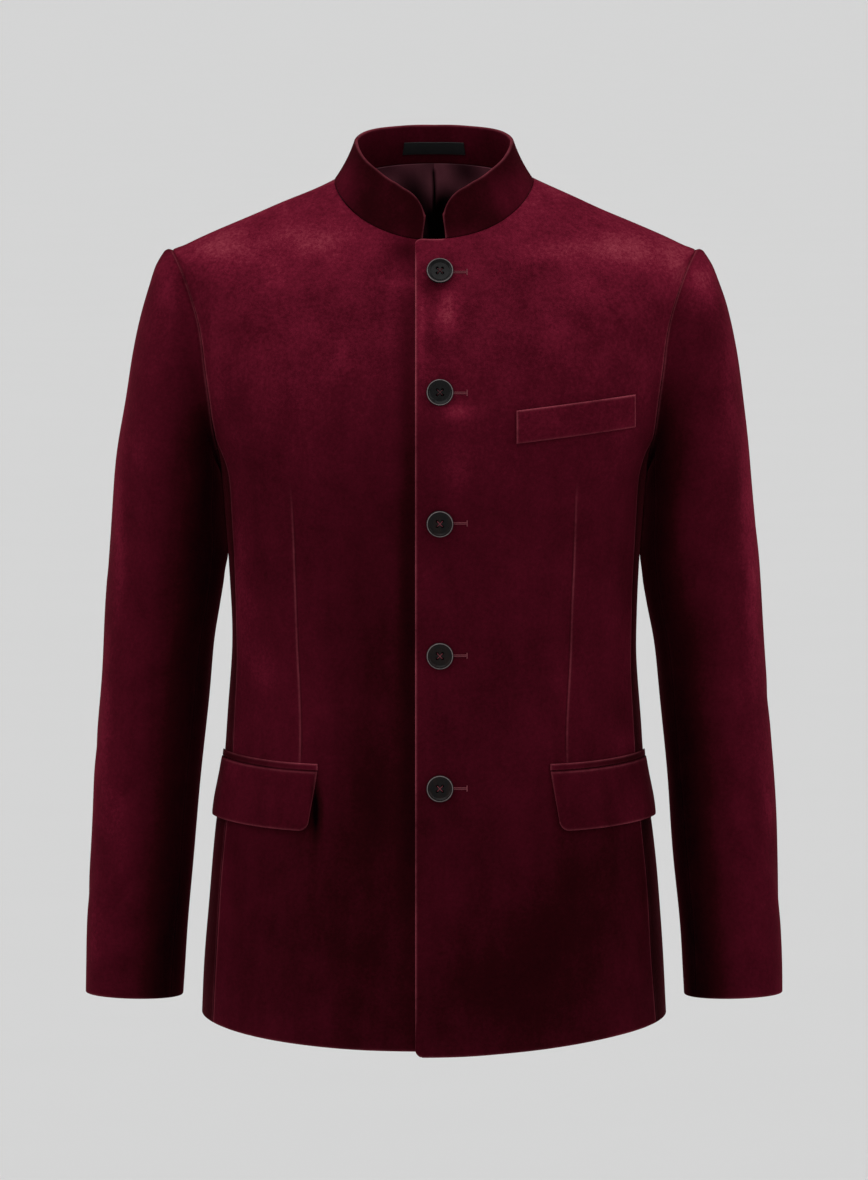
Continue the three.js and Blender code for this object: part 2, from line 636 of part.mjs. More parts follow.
// The lining inside the back of the neck, on the upper rows of the backs, folded in at the middle.
function addLining(backGrid) {
  const grid = backGrid.slice(-SHOULDER_ROWS.length - 1).map((row) => [
    ...LINING.steps.map((t) => blended(row[0], row[1], t)),
    ...row.slice(1, -2),
  ]);
  const near = (p) => Math.max(0, 1 - Math.abs(p.x) / LINING.foldWidth);
  const fold = (p) => LINING.fold * near(p) * smooth(-p.z, LINING.foldStart, LINING.foldFull);
  const gap = BODY_WALL + LINING.gap;
  const outer = moved(grid, (p) => -gap - fold(p));
  const inner = moved(grid, (p) => -gap - LINING_WALL - fold(p));
  seamed(outer, inner, ["first"]);
  addPair("neck_lining", outer, inner, LINING_SATIN);
}

// ---------------------------------------------------------------- pockets

const HALVINGS = 40;

// The point of the body's front at x and z in the front view, with its normal.
function frontSpot(x, z) {
  let [low, high] = [HEM, NECK];
  for (let i = 0; i < HALVINGS; i += 1) {
    const level = (low + high) / 2;
    if (bodyPoint(level, turnAtX(level, x)).z < z) low = level;
    else high = level;
  }
  const turn = turnAtX(low, x);
  return { point: bodyPoint(low, turn), normal: bodyNormal(low, turn) };
}

function addWelt() {
  const [columns, rows] = [14, 3];
  const grid = Array.from({ length: rows + 1 }, (_, r) =>
    Array.from({ length: columns + 1 }, (_, c) => {
      const [s, t] = [c / columns, r / rows];
      const x = lerp(WELT.x0, WELT.x1, s);
      return frontSpot(x, lerp(WELT.z0, WELT.z1, s) - WELT.tall * (1 - t));
    }),
  );
  const low = moved(grid, SEAM_GAP);
  addPiece("breast_welt", wallGeometry(moved(grid, SEAM_GAP + WELT.thick), low), VELVET);
}

// A patch on the body. spot gives the level and turn at a share of the way down and across.
function pocketGrid(rows, columns, spot) {
  return Array.from({ length: rows + 1 }, (_, r) =>
    Array.from({ length: columns + 1 }, (_, c) => {
      const { level, turn } = spot(r / rows, c / columns);
      return { point: bodyPoint(level, turn), normal: bodyNormal(level, turn), down: r / rows };
    }),
  );
}

// The section that the pocket's line crosses at a share of the way from its front end to its back end.
const pocketLine = (share) => lerp(FLAP.frontTop, FLAP.backTop, share);

// The shares of the flap's width at which its columns lie, close together at the rounded corners.
const FLAP_HALF_STEPS = [0, 0.015, 0.035, 0.07, 0.15, 0.24, 0.33, 0.42];
const FLAP_STEPS = [...FLAP_HALF_STEPS, 0.5, ...FLAP_HALF_STEPS.map((share) => 1 - share).reverse()];

// How much of the flap's height a rounded corner takes at a share of its width.
function flapCut(share) {
  const fromEnd = Math.min(share, 1 - share) * FLAP.width;
  const missing = Math.max(0, FLAP_EDGE.corner - fromEnd);
  return FLAP_EDGE.corner - Math.sqrt(FLAP_EDGE.corner ** 2 - missing ** 2);
}

function addFlaps() {
  const [rows, columns] = [4, FLAP_STEPS.length - 1];
  const grid = pocketGrid(rows, columns, (t, s) => {
    const share = FLAP_STEPS[Math.round(s * columns)];
    const level = pocketLine(share) - (FLAP.tall - flapCut(share)) * t;
    const front = turnAtX(level, FLAP.x + FLAP.slant * t);
    return { level, turn: lerp(front, turnAtDepth(level, FLAP.backY), share) };
  });
  const lift = (_, { down }) => SEAM_GAP + FLAP_EDGE.stand * smooth(down, 0, 1);
  const outer = moved(grid, (p, spot) => lift(p, spot) + FLAP_EDGE.thick);
  addPair("pocket_flap", outer, moved(grid, lift), VELVET);
}

function addJets() {
  const [rows, columns] = [1, 16];
  const grid = pocketGrid(rows, columns, (t, s) => {
    const level = pocketLine(s) + SEAM_GAP + JET.tall * (1 - t);
    return { level, turn: lerp(turnAtX(level, FLAP.x), turnAtDepth(level, FLAP.backY), s) };
  });
  addPair("pocket_jet", moved(grid, SEAM_GAP + JET.thick), moved(grid, SEAM_GAP), VELVET);
}

// ---------------------------------------------------------------- buttons

// A three.js geometry as a solid that can be cut, and back.
function solidOf(geometry) {
  const bare = geometry.clone().deleteAttribute("normal").deleteAttribute("uv");
  const merged = mergeVertices(bare, 1e-4);
  const vertProperties = merged.attributes.position.array;
  const triVerts = new Uint32Array(merged.index.array);
  return new wasm.Manifold(new wasm.Mesh({ numProp: 3, vertProperties, triVerts }));
}

function geometryOf(solid) {
  const mesh = solid.getMesh();
  const geometry = new THREE.BufferGeometry();
  geometry.setAttribute("position", new THREE.BufferAttribute(mesh.vertProperties, 3));
  geometry.setIndex(new THREE.BufferAttribute(mesh.triVerts, 1));
  geometry.computeVertexNormals();
  return geometry;
}

// A four-hole button with a raised rim, lying on the plane y = 0 and facing -Y.
function buttonGeometry() {
  const { radius, foot, rim, thick, dish, sides } = BUTTON;
  const profile = [
    [0, 0],
    [SHANK.radius, 0],
    [SHANK.radius, SHANK.tall],
    [foot, SHANK.tall],
    [radius, SHANK.tall + thick / 2],
    [radius - rim / 2, SHANK.tall + thick],
    [radius - rim, SHANK.tall + thick - dish],
    [0, SHANK.tall + thick - dish],
  ].map(([r, y]) => new THREE.Vector2(r, y));
  let solid = solidOf(new THREE.LatheGeometry(profile, sides));
  const through = 4 * (thick + SHANK.tall);
  for (const [i, j] of [[-1, -1], [1, -1], [1, 1], [-1, 1]]) {
    const drill = new THREE.CylinderGeometry(HOLES.radius, HOLES.radius, through, HOLES.sides);
    drill.translate((i * HOLES.spacing) / 2, 0, (j * HOLES.spacing) / 2);
    solid = solid.subtract(solidOf(drill));
  }
  return geometryOf(solid);
}

// The point of a panel's facets at x and z in the front view.
function facetSpot(grid, x, z) {
  const flat = (p) => new THREE.Vector3(p.x, p.z, 0);
  const spot = new THREE.Vector3(x, z, 0);
  for (let r = 0; r + 1 < grid.length; r += 1)
    for (let c = 0; c + 1 < grid[r].length; c += 1) {
      const [a, b, d, e] = [grid[r][c], grid[r][c + 1], grid[r + 1][c + 1], grid[r + 1][c]];
      for (const corners of [[a, b, d], [a, d, e]]) {
        const [p, q, s] = corners.map(flat);
        if (!THREE.Triangle.containsPoint(spot, p, q, s)) continue;
        return THREE.Triangle.getInterpolation(spot, p, q, s, ...corners, new THREE.Vector3());
      }
    }
  throw new Error("no facet there");
}

function addButtons(panel) {
  const shape = buttonGeometry();
  BUTTON_HEIGHTS.forEach((z, i) => {
    const { normal } = frontSpot(BUTTON_X, z);
    const mesh = new THREE.Mesh(shape, HORN);
    mesh.name = "button_" + (i + 1);
    mesh.position.copy(facetSpot(panel, BUTTON_X, z)).addScaledVector(normal, SEAM_GAP);
    mesh.quaternion.setFromUnitVectors(new THREE.Vector3(0, 1, 0), normal);
    jacket.add(mesh);
  });
}

// ---------------------------------------------------------------- the jacket

const fronts = addFronts();
const back = addBacks();
addSidePanels();
addSleeves();
addLabel(addCollar(fronts, back.neck));
addLining(back.grid);
addWelt();
addFlaps();
addJets();
addButtons(fronts.panel);

export default jacket;
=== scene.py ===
"""The finish of a velvet nehru jacket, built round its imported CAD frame.

The jacket is filled out as it is worn. Its velvet panels, sleeves, collar, pockets, lining, label, buttons
and buttonholes are surfaces worked out from the same named sizes as the solids that they stand for.
Tables and sizes are in millimetres, in the frame's own axes: +Z up, the front faces -Y, the wearer's left
is +X, and the origin is the middle of the neck. Meshes are in metres.
"""

import math

import bpy
import numpy as np
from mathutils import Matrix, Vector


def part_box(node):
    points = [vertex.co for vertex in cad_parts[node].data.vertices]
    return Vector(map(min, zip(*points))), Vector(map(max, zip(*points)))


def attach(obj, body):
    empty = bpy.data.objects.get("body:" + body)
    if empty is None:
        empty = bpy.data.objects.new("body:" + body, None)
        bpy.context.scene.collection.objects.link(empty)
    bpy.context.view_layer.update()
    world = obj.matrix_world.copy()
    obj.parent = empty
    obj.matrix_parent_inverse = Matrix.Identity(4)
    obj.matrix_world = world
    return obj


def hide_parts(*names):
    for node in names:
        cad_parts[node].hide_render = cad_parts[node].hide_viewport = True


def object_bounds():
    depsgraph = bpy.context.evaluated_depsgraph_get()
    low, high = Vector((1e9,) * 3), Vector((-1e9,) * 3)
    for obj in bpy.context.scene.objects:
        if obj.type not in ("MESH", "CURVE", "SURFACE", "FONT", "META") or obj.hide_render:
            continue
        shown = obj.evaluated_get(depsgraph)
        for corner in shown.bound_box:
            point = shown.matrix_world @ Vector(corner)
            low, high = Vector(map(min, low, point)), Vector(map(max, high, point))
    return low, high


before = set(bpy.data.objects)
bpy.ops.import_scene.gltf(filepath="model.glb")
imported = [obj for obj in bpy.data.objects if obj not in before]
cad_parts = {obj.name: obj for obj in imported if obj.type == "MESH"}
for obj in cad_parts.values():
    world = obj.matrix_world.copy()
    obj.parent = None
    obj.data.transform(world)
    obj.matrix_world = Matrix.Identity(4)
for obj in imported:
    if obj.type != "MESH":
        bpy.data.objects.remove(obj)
CAD_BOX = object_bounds()

bl_info = {
    "name": "Nehru Jacket Finish",
    "version": (1, 0, 0),
    "blender": (4, 5, 0),
    "location": "View3D > Sidebar > Jacket",
    "description": "Builds a nehru jacket's velvet, lining, label, buttons and buttonholes",
    "category": "Add Mesh",
}

METRES = 0.001  # in a millimetre
MILLIMETRES = 1000  # in a metre
LEFT = 1
RIGHT = -1
SIDE_NAMES = {LEFT: "left", RIGHT: "right"}

# ---------------------------------------------------------------- the jacket's form, as in its solids

BODY_WALL = 2.4
SLEEVE_WALL = 2.0
COLLAR_WALL = 3.0
LINING_WALL = 1.0
SEAM_GAP = 0.3
LAP = 16  # how far each front runs past the middle
LAP_LEVEL = LAP + 6  # up to here the upper front keeps its whole lift
LAP_EASE = 64  # and from here on it lies on the body again
LAP_LIFT = BODY_WALL + SEAM_GAP
HEM_DROP = 5
HEM_DROP_END = 170
HEM_DROP_FADE = 90
CORNER = {"radius": 7, "bottom_fade": 40, "top_fade": 30, "top_share": 0.8}
# Rough lengths that set only how many rows or columns a surface has.
SPANS = {
    "armhole": 190,
    "shoulder": 150,
    "edge_to_dart": 134,
    "dart_to_side": 118,
    "back": 225,
    "side_panel": 100,
    "sleeve": 640,
    "sleeve_round": 400,
    "collar": 38,
}

# Half width at the side, depth in front and behind, with the height of each, a superellipse's power and
# how the height runs with depth, from the hem to the neck.
SECTION_NAMES = ("side_z", "side", "front_z", "front", "back_z", "back", "power", "rise")
SECTIONS = np.array(
    [
        (-721, 202.3, -740, 130, -716, 124, 2.4, 2),
        (-640, 196.5, -658, 129, -635, 119, 2.4, 2),
        (-560, 188.4, -577, 126.5, -554, 110, 2.4, 2),
        (-480, 179.6, -496, 123.5, -473, 100, 2.4, 2),
        (-400, 174.4, -415, 121.5, -391, 95, 2.4, 2),
        (-330, 177.2, -345, 124.5, -320, 101, 2.4, 2),
        (-290, 180.2, -305, 128, -279, 107.5, 2.4, 2),
        (-250, 184, -266, 131.5, -240, 114, 2.4, 2),
        (-205, 201.5, -232, 134, -205, 118.5, 2.4, 2),
        (-150, 214, -202, 133, -170, 120, 2.38, 2),
        (-105, 218.5, -180, 129.5, -145, 118.5, 2.25, 2),
        (-80, 223, -167, 126.5, -131, 116.5, 2.1, 2),
        (-61, 225.5, -156, 123, -117, 112.5, 1.95, 2),
        (-56, 214.5, -148, 120, -107, 109.4, 2.05, 1.95),
        (-49.5, 201, -137, 116, -95, 105.5, 2.25, 1.9),
        (-25, 144, -97, 99.5, -44, 88, 2.15, 1.5),
        (0, 86, -49, 76, 13, 63, 2.05, 1.3),
    ]
)
SOFTENING = 24  # how far up and down the sections lie, at most, whose mean a body point is
HEM = SECTIONS[0, 0]
SHOULDER = -61
NECK = 0

ARMHOLE = {"top": SHOULDER, "bottom": -250, "front": 66, "back": 70, "fullness": 0.85}
FRONT_END = 130
BACK_END = 230
STILL = {"z": (-400, -335), "x": (120, 165)}  # the panels' slow swells die out over these

DART_NAMES = ("side_z", "out", "pinch")
DARTS = np.array(
    [
        (HEM, 112, 0),
        (-500, 113, 0),
        (-470, 113, 0.8),
        (-380, 117, 1.4),
        (-270, 120, 0.5),
        (-235, 121, 0),
        (SHOULDER, 118, 0),
        (NECK, 69, 0),
    ]
)
DART_LIMIT = 0.62  # the dart's farthest place, as a share of the way from the lap's end to the side
DART_SEWN = 0.8  # where the pinch is this deep, the dart's line is at its strongest
DART_PINCH_WIDTH = 14
DART_LINE = {"depth": 0.3, "width": 0.7}
DART_DIP = {"depth": 0.25, "fade": 4}
# A painted highlight beside the sewn dart: its strength, how far from the dart it lies and its width.
DART_HIGHLIGHT = {"strength": 0.45, "away": 1.5, "width": 0.8}

# For each row of the sleeve, its outer and inner end in the front view, its half depth and how deep its
# middle lies.
SLEEVE_NAMES = ("place", "out_x", "out_z", "in_x", "in_z", "deep", "mid")
SLEEVE = np.array(
    [
        (0, 225.5, -61, 184, -250, 68, 2),
        (1, 231.5, -62, 186.2, -254, 69, 2),
        (2, 239, -72, 184.8, -260, 70, 2),
        (3, 246.5, -93, 183.4, -268, 71, 2),
        (4, 254.5, -121, 182.2, -278, 72, 3),
        (5, 262, -156, 181, -290, 72, 3),
        (6, 267.5, -195, 179.9, -304, 71.5, 3),
        (7, 272.5, -234, 178.5, -322, 70, 3),
        (8, 276.6, -280, 180.4, -343, 67.5, 3),
        (9, 281, -329, 184.4, -367, 64.5, 2),
        (10, 285.6, -383, 190.4, -400, 61.5, 0),
        (11, 289.6, -447, 195.9, -452, 58, -4),
        (12, 293.9, -515, 202, -517, 54.5, -11),
        (13, 297.2, -586, 207.8, -588, 51, -18),
        (14, 299.2, -645, 212.6, -647, 48.5, -25),
        (15, 300, -700, 216, -702, 47, -30),
    ]
)
ARMHOLE_FADE = 6  # rows over which the armhole's form fades into the sleeve's
FOREARM_SEAM = 140
HINDARM_SEAM = 260
SLEEVE_FULLNESS = 0.9
SEAM_TUCK = 0.9  # how far the sleeve's first row reaches under the panels, so that no light comes through
SLEEVE_TOUCH = 0.9  # how far the sleeve swells to meet the side panel
ARMPIT_TOUCH = 1.8  # and how much further just below the armhole
TOUCH_START = (-340, -318)  # heights over which the sleeve comes to touch the panel
TOUCH_END = (-250, -238)  # and leaves it again
ARMPIT_START = (-284, -256)
RIDGE = {"away": 4.5, "width": 3.5, "reach": 0.25}  # the eased ridge along the top of the armhole
SLEEVE_SLACK = (5, 60)  # distances from the armhole over which the sleeve's slow swells grow

COLLAR_NAMES = ("turn", "tall", "lean")
COLLAR = np.array(
    [
        (0, 39, 14),
        (20, 41, 16),
        (32, 44, 21),
        (48, 44.5, 28),
        (65, 42, 29.5),
        (90, 39, 32),
        (120, 37.5, 24.5),
        (150, 35.2, 20.5),
        (180, 35, 23),
    ]
)
COLLAR_CORNER = 20
COLLAR_ENDS = {LEFT: 9.5, RIGHT: 7.5}
COLLAR_END_FADE = 2
COLLAR_BEND = {"low": 1.15, "fall": 0.3}  # the lean's share at the seam, and how much less it is at the top
COLLAR_STEPS = (0.55, 0.6)  # the collar's step along and up, as shares of the cloth's

BUTTON_HEIGHTS = (-77, -177.2, -287.3, -401, -514.6)
BUTTON_X = 5
SHANK_TALL = 1.1
BUTTONHOLE_END = 28

WELT = {"x0": 70, "z0": -192, "x1": 171, "z1": -180, "tall": 28, "thick": 2.2}
FLAP = {"x": 99, "back_y": -6, "front_top": -488, "back_top": -497.5, "tall": 51.5, "slant": 7}
FLAP_EDGE = {"thick": 2.4, "corner": 9, "stand": 2.5}
FLAP_WIDTH = 132
JET = {"tall": 5.5, "thick": 1.4}
POCKET_STEPS = (2.4, 2.2)  # how far apart a flap's columns and rows are
WELT_STEPS = (2.2, 1.8)
JET_STEP = 1.2
JET_STRETCH = 2.2  # the jet's rows are spaced as on a strip this many times as tall
LABEL = {"width": 60, "low": 9, "high": 20, "thick": 0.6}
LABEL_GRID = (61, 21)
LABEL_RIBS = {"count": 7, "height": 0.036}
LINING_GAP = 0.45
LINING_DROP = 8  # how far below the shoulder's level the lining ends
LINING_SPAN = 150
LINING_STEP = 2.6
LINING_COLUMNS = ((0, 0.12, 16), (0.12, 0.86, 60))  # from and to, as shares of the way round, and how many
LINING_HANG = (-12, 16)  # depths below the origin over which the lining comes to hang free
PLEAT_WIDTH = 5.5
FOLDS = {"across": 8.0, "down": 11.0, "shift": 0.7, "height": 2.0, "start": (2, 14)}
FOLD_LEAN = {LEFT: 0.3, RIGHT: -0.2}
# The lining's dark: low down, in the pleat, all over and, less it, on the crests of the folds.
LINING_SHADE = {"low": 0.96, "pleat": 0.95, "all": 0.3, "crest": 0.45}
LINING_SHADE_LOW = (0, 44)  # depths below the origin
PLEAT_SHADE_WIDTH = 1.8
PLEAT_SHADE_START = (-12, -5)

# ---------------------------------------------------------------- the cloth's creases

# Each crease is seen from the front, the back or the outside: where it starts and ends in that view, how
# far it bows to its left, its half width and its depth.
BODY_CREASES = {
    LEFT: (
        ("front", (40, -120), (150, -96), 6, 14, 1.2),
        ("front", (60, -235), (150, -262), -8, 16, 1.0),
        ("front", (150, -300), (172, -440), 7, 13, 1.6),
        ("front", (26, -300), (40, -480), -6, 22, 0.9),
        ("front", (-8, -92), (24, -86), 3, 5, 0.7),
        ("front", (-14, -104), (20, -101), -3, 5, 0.5),
        ("front", (60, -560), (78, -730), 8, 20, 1.5),
        ("front", (135, -570), (160, -735), -7, 18, 1.8),
        ("front", (172, -205), (196, -250), -5, 8, 1.6),
        ("back", (28, -330), (120, -372), 8, 12, 1.8),
        ("back", (15, -392), (135, -405), -9, 13, 2.0),
        ("back", (90, -200), (170, -140), 8, 14, 1.6),
        ("back", (60, -520), (52, -716), 8, 22, 2.0),
        ("back", (140, -500), (150, -716), -9, 18, 1.8),
    ),
    RIGHT: (
        ("front", (36, -128), (140, -92), -5, 15, 1.1),
        ("front", (70, -225), (160, -252), 7, 15, 1.1),
        ("front", (150, -310), (168, -450), -6, 14, 1.5),
        ("front", (40, -290), (52, -470), 6, 22, 0.9),
        ("front", (48, -570), (60, -730), -7, 22, 1.4),
        ("front", (130, -560), (150, -735), 8, 17, 1.8),
        ("front", (176, -200), (198, -246), 4, 9, 1.6),
        ("back", (22, -345), (112, -362), -7, 13, 1.7),
        ("back", (34, -408), (140, -388), 8, 12, 2.0),
        ("back", (96, -214), (172, -150), -7, 14, 1.5),
        ("back", (70, -530), (80, -716), -8, 21, 1.9),
        ("back", (148, -510), (138, -716), 7, 19, 1.7),
    ),
}
SLEEVE_CREASES = {
    LEFT: (
        ("front", (240, -520), (293, -628), -7, 9, 3.0),
        ("front", (222, -588), (270, -668), 6, 8, 1.6),
        ("front", (226, -470), (262, -560), 8, 11, 1.7),
        ("front", (205, -330), (262, -372), 9, 13, 1.5),
        ("front", (204, -402), (276, -424), -8, 13, 1.6),
        ("front", (262, -190), (270, -330), 5, 12, 1.4),
        ("back", (206, -372), (276, -344), 8, 10, 2.4),
        ("back", (204, -396), (280, -408), -7, 10, 2.8),
        ("back", (212, -440), (284, -424), 8, 11, 2.2),
        ("back", (224, -520), (286, -560), -8, 13, 1.6),
        ("outer", (-20, -260), (10, -350), 6, 12, 0.7),
        ("outer", (-30, -430), (26, -500), 7, 13, 0.9),
        ("outer", (-48, -560), (-6, -650), -6, 12, 0.8),
    ),
    RIGHT: (
        ("front", (232, -500), (288, -572), 8, 10, 2.0),
        ("front", (240, -560), (296, -640), -7, 9, 2.4),
        ("front", (222, -610), (262, -690), 6, 9, 1.5),
        ("front", (208, -345), (268, -378), -8, 13, 1.5),
        ("front", (206, -420), (270, -452), 9, 12, 1.7),
        ("front", (258, -200), (268, -320), -6, 12, 1.3),
        ("back", (208, -360), (272, -372), -7, 10, 2.5),
        ("back", (206, -418), (282, -396), 8, 11, 2.7),
        ("back", (214, -455), (280, -462), -7, 11, 2.0),
        ("back", (228, -540), (284, -600), 8, 13, 1.6),
        ("outer", (-24, -250), (4, -345), -6, 12, 0.7),
        ("outer", (-28, -450), (22, -530), -7, 13, 0.9),
        ("outer", (-52, -580), (-10, -660), 6, 12, 0.8),
    ),
}
# A slow swell over the whole cloth: how fast it turns along X, Y and Z in turns a metre, where it starts
# in turns, and its height.
SWELLS = (
    ((5.1, 2.2, 1.9), 0.15, 0.55),
    ((-3.2, 4.1, 4.6), 0.62, 0.45),
    ((8.3, -3.6, 2.8), 0.33, 0.32),
    ((2.4, 5.2, -8.7), 0.81, 0.26),
    ((11.9, 3.1, 6.4), 0.05, 0.16),
)

# How bright the velvet is painted, from 0, black, to 1, brushed right over: the pile's own patches
# together with painted light and shade. The body's tone falls from the shoulders to the hem, painted light
# from above, and the sleeve's from its outside to its inside, painted shade where the sleeve faces the body.
BODY_TONE = ((-745, 0.28), (-600, 0.28), (-430, 0.34), (-300, 0.34), (-200, 0.39), (-110, 0.44), (20, 0.46))
SLEEVE_TONE = ((-1.0, 0.06), (-0.6, 0.10), (-0.1, 0.27), (0.45, 0.36), (1.0, 0.38))
SLEEVE_TONE_FALL = 0.03  # from the shoulder to the cuff
# The side panels' tone is painted shadow under the arms, darker on the left.
SIDE_PANEL_SHADE = {LEFT: 0.08, RIGHT: 0.2}
# Soft ovals that are brighter or darker: view, middle, half sizes and strength. Besides patches of the
# pile they hold painted light, as on the shoulders, and painted shadows, as beside the lap, by the armholes
# and at a flap's front edge.
TONES = {
    LEFT: (
        ("front", (12, -108), (10, 20), 0.22),
        ("front", (-11, -118), (4, 30), 0.16),
        ("front", (20, -192), (17, 7), 0.17),
        ("front", (22, -243), (10, 15), 0.08),
        ("front", (92, -60), (20, 9), 0.12),
        ("front", (168, -60), (44, 17), 0.13),
        ("front", (130, -92), (14, 14), 0.10),
        ("front", (206, -80), (16, 26), 0.12),
        ("front", (100, -120), (12, 14), 0.06),
        ("front", (196, -280), (16, 62), -0.26),
        ("front", (60, -680), (60, 70), -0.09),
        ("front", (120, -620), (44, 80), -0.09),
        ("front", (172, -480), (14, 10), 0.10),
        ("front", (176, -400), (10, 46), 0.12),
        ("front", (178, -540), (14, 20), 0.08),
        ("front", (-4, -88), (12, 8), -0.12),
        ("back", (150, -76), (80, 30), 0.20),
        ("back", (60, -300), (50, 60), 0.08),
        ("back", (90, -520), (50, 90), -0.05),
    ),
    RIGHT: (
        ("front", (98, -52), (34, 13), 0.12),
        ("front", (186, -56), (36, 18), 0.13),
        ("front", (140, -78), (18, 14), 0.06),
        ("front", (80, -146), (9, 18), 0.09),
        ("front", (24, -84), (30, 6), 0.08),
        ("front", (26, -58), (16, 9), -0.15),
        ("front", (21, -330), (9, 320), -0.16),
        ("front", (50, -470), (46, 210), -0.10),
        ("front", (170, -335), (12, 70), 0.15),
        ("front", (146, -414), (10, 22), 0.08),
        ("front", (172, -392), (8, 70), 0.08),
        ("front", (182, -500), (12, 22), 0.12),
        ("front", (190, -640), (14, 90), 0.08),
        ("front", (101, -534), (3.5, 20), -0.4),
        ("front", (120, -640), (40, 70), -0.03),
        ("back", (150, -76), (80, 30), 0.20),
        ("back", (70, -420), (50, 50), 0.08),
        ("back", (80, -600), (60, 90), -0.05),
    ),
}
# Brighter ovals on the sleeves: painted highlights along their outer sides and on their heads.
SLEEVE_TONES = {
    LEFT: (
        ("front", (270, -260), (8, 80), 0.16),
        ("front", (278, -350), (7, 70), 0.20),
        ("front", (256, -160), (14, 50), 0.10),
        ("front", (232, -84), (16, 26), 0.22),
        ("front", (290, -520), (8, 60), 0.12),
        ("front", (250, -600), (24, 90), 0.05),
        ("front", (212, -330), (16, 90), 0.08),
        ("outer", (0, -250), (20, 120), 0.10),
        ("outer", (-10, -480), (16, 90), 0.10),
    ),
    RIGHT: (
        ("front", (272, -300), (6, 70), 0.14),
        ("front", (286, -440), (8, 60), 0.14),
        ("front", (276, -540), (12, 40), 0.08),
        ("front", (230, -84), (16, 26), 0.16),
        ("front", (292, -640), (8, 40), 0.10),
        ("outer", (0, -230), (20, 110), 0.10),
        ("outer", (-12, -520), (18, 80), 0.10),
    ),
}
# Brighter ovals on the collar: painted light where it is lit.
COLLAR_TONES = (
    ("front", (-80, -2), (16, 24), 0.18),
    ("front", (66, -12), (20, 18), 0.16),
    ("front", (26, -44), (12, 8), 0.08),
    ("front", (-26, -44), (12, 6), 0.05),
    ("front", (80, 4), (10, 18), 0.10),
)

# ---------------------------------------------------------------- curves and surfaces


class Curve:
    """A smooth curve through a table's points that never runs past them.

    Between two points it is the cubic with their heights and slopes. A point's slope is the harmonic mean
    of the rates on its two sides, weighted by their lengths, and 0 where the curve turns back.
    """

    def __init__(self, places, heights):
        self.places = np.asarray(places, float)
        self.heights = np.asarray(heights, float)
        self.steps = np.diff(self.places)
        rates = np.diff(self.heights) / self.steps
        before = rates[:-1]
        after = rates[1:]
        turns_back = before * after <= 0
        weight_before = 2 * self.steps[1:] + self.steps[:-1]
        weight_after = self.steps[1:] + 2 * self.steps[:-1]
        parts = weight_before / np.where(turns_back, 1, before)
        parts += weight_after / np.where(turns_back, 1, after)
        inner = np.where(turns_back, 0, (weight_before + weight_after) / np.where(turns_back, 1, parts))
        self.slopes = np.concatenate([rates[:1], inner, rates[-1:]])

    def __call__(self, place):
        place = np.clip(place, self.places[0], self.places[-1])
        i = np.clip(np.searchsorted(self.places, place) - 1, 0, len(self.steps) - 1)
        t = (place - self.places[i]) / self.steps[i]
        start = (2 * t**3 - 3 * t**2 + 1) * self.heights[i]
        leave = (t**3 - 2 * t**2 + t) * self.steps[i] * self.slopes[i]
        end = (3 * t**2 - 2 * t**3) * self.heights[i + 1]
        arrive = (t**3 - t**2) * self.steps[i] * self.slopes[i + 1]
        return start + leave + end + arrive


def curves_of(names, rows):
    """One curve for each column of a table, over its first column."""
    return {name: Curve(rows[:, 0], rows[:, i]) for i, name in enumerate(names) if i > 0}


def mix(a, b, share):
    """a at share 0, b at share 1, and a straight run between."""
    return a + (b - a) * share


def smooth(value, low, high):
    """0 below low, 1 above high, and 3t^2 - 2t^3 between."""
    t = np.clip((value - low) / (high - low), 0, 1)
    return t * t * (3 - 2 * t)


def bell(distance, width):
    """exp(-q^2), q the distance in widths: 1 at 0 and almost 0 from two widths on."""
    return np.exp(-((distance / width) ** 2))


def unit(vectors):
    """Each vector divided by its own length."""
    return vectors / np.linalg.norm(vectors, axis=-1, keepdims=True)


def mirror(side):
    """The factors that take a point worked out for the wearer's left to this side."""
    return np.array([side, 1, 1])


BODY = curves_of(SECTION_NAMES, SECTIONS)
DART = curves_of(DART_NAMES, DARTS)
SLEEVE_CURVES = curves_of(SLEEVE_NAMES, SLEEVE)
COLLAR_CURVES = curves_of(COLLAR_NAMES, COLLAR)
BODY_TONE_CURVE = Curve(*np.transpose(BODY_TONE))
SLEEVE_TONE_CURVE = Curve(*np.transpose(SLEEVE_TONE))


def armhole_level(angle):
    """The section that the armhole crosses: a cosine between its bottom and its top, angle in degrees."""
    return mix(ARMHOLE["bottom"], ARMHOLE["top"], (1 + np.cos(np.radians(angle))) / 2)


def armhole_depth(angle):
    """The armhole's depth: its half width times a power of the sine, in front for angles up to 180."""
    sine = np.sin(np.radians(angle))
    reach = np.where(sine > 0, -ARMHOLE["front"], ARMHOLE["back"])
    return reach * np.abs(sine) ** ARMHOLE["fullness"]


SEAM_NAMES = ("side_z", "front", "back")
SIDE_SEAMS = np.array(
    [
        (HEM, 54, 56),
        (-560, 50, 52),
        (-400, 38, 44),
        (armhole_level(FRONT_END), -armhole_depth(FRONT_END), armhole_depth(BACK_END)),
    ]
)
SEAMS = curves_of(SEAM_NAMES, SIDE_SEAMS)


def section_point(level, turn):
    """A point of the body's section at the side's height level, turn radians from the middle front.

    In plan it is a superellipse: (|sin| / side)^p + (|cos| / depth)^p = 1 / reach^p. Its height runs from
    the level at the side to the middle's height with a power of the depth's share.
    """
    in_front = np.cos(turn) > 0
    deep = np.where(in_front, BODY["front"](level), BODY["back"](level))
    end_z = np.where(in_front, BODY["front_z"](level), BODY["back_z"](level))
    power = BODY["power"](level)
    across = np.abs(np.sin(turn)) / BODY["side"](level)
    along = np.abs(np.cos(turn)) / deep
    reach = (across**power + along**power) ** (-1 / power)
    height = mix(level, end_z, (reach * along) ** BODY["rise"](level))
    return np.stack([reach * np.sin(turn), -reach * np.cos(turn), height], axis=-1)


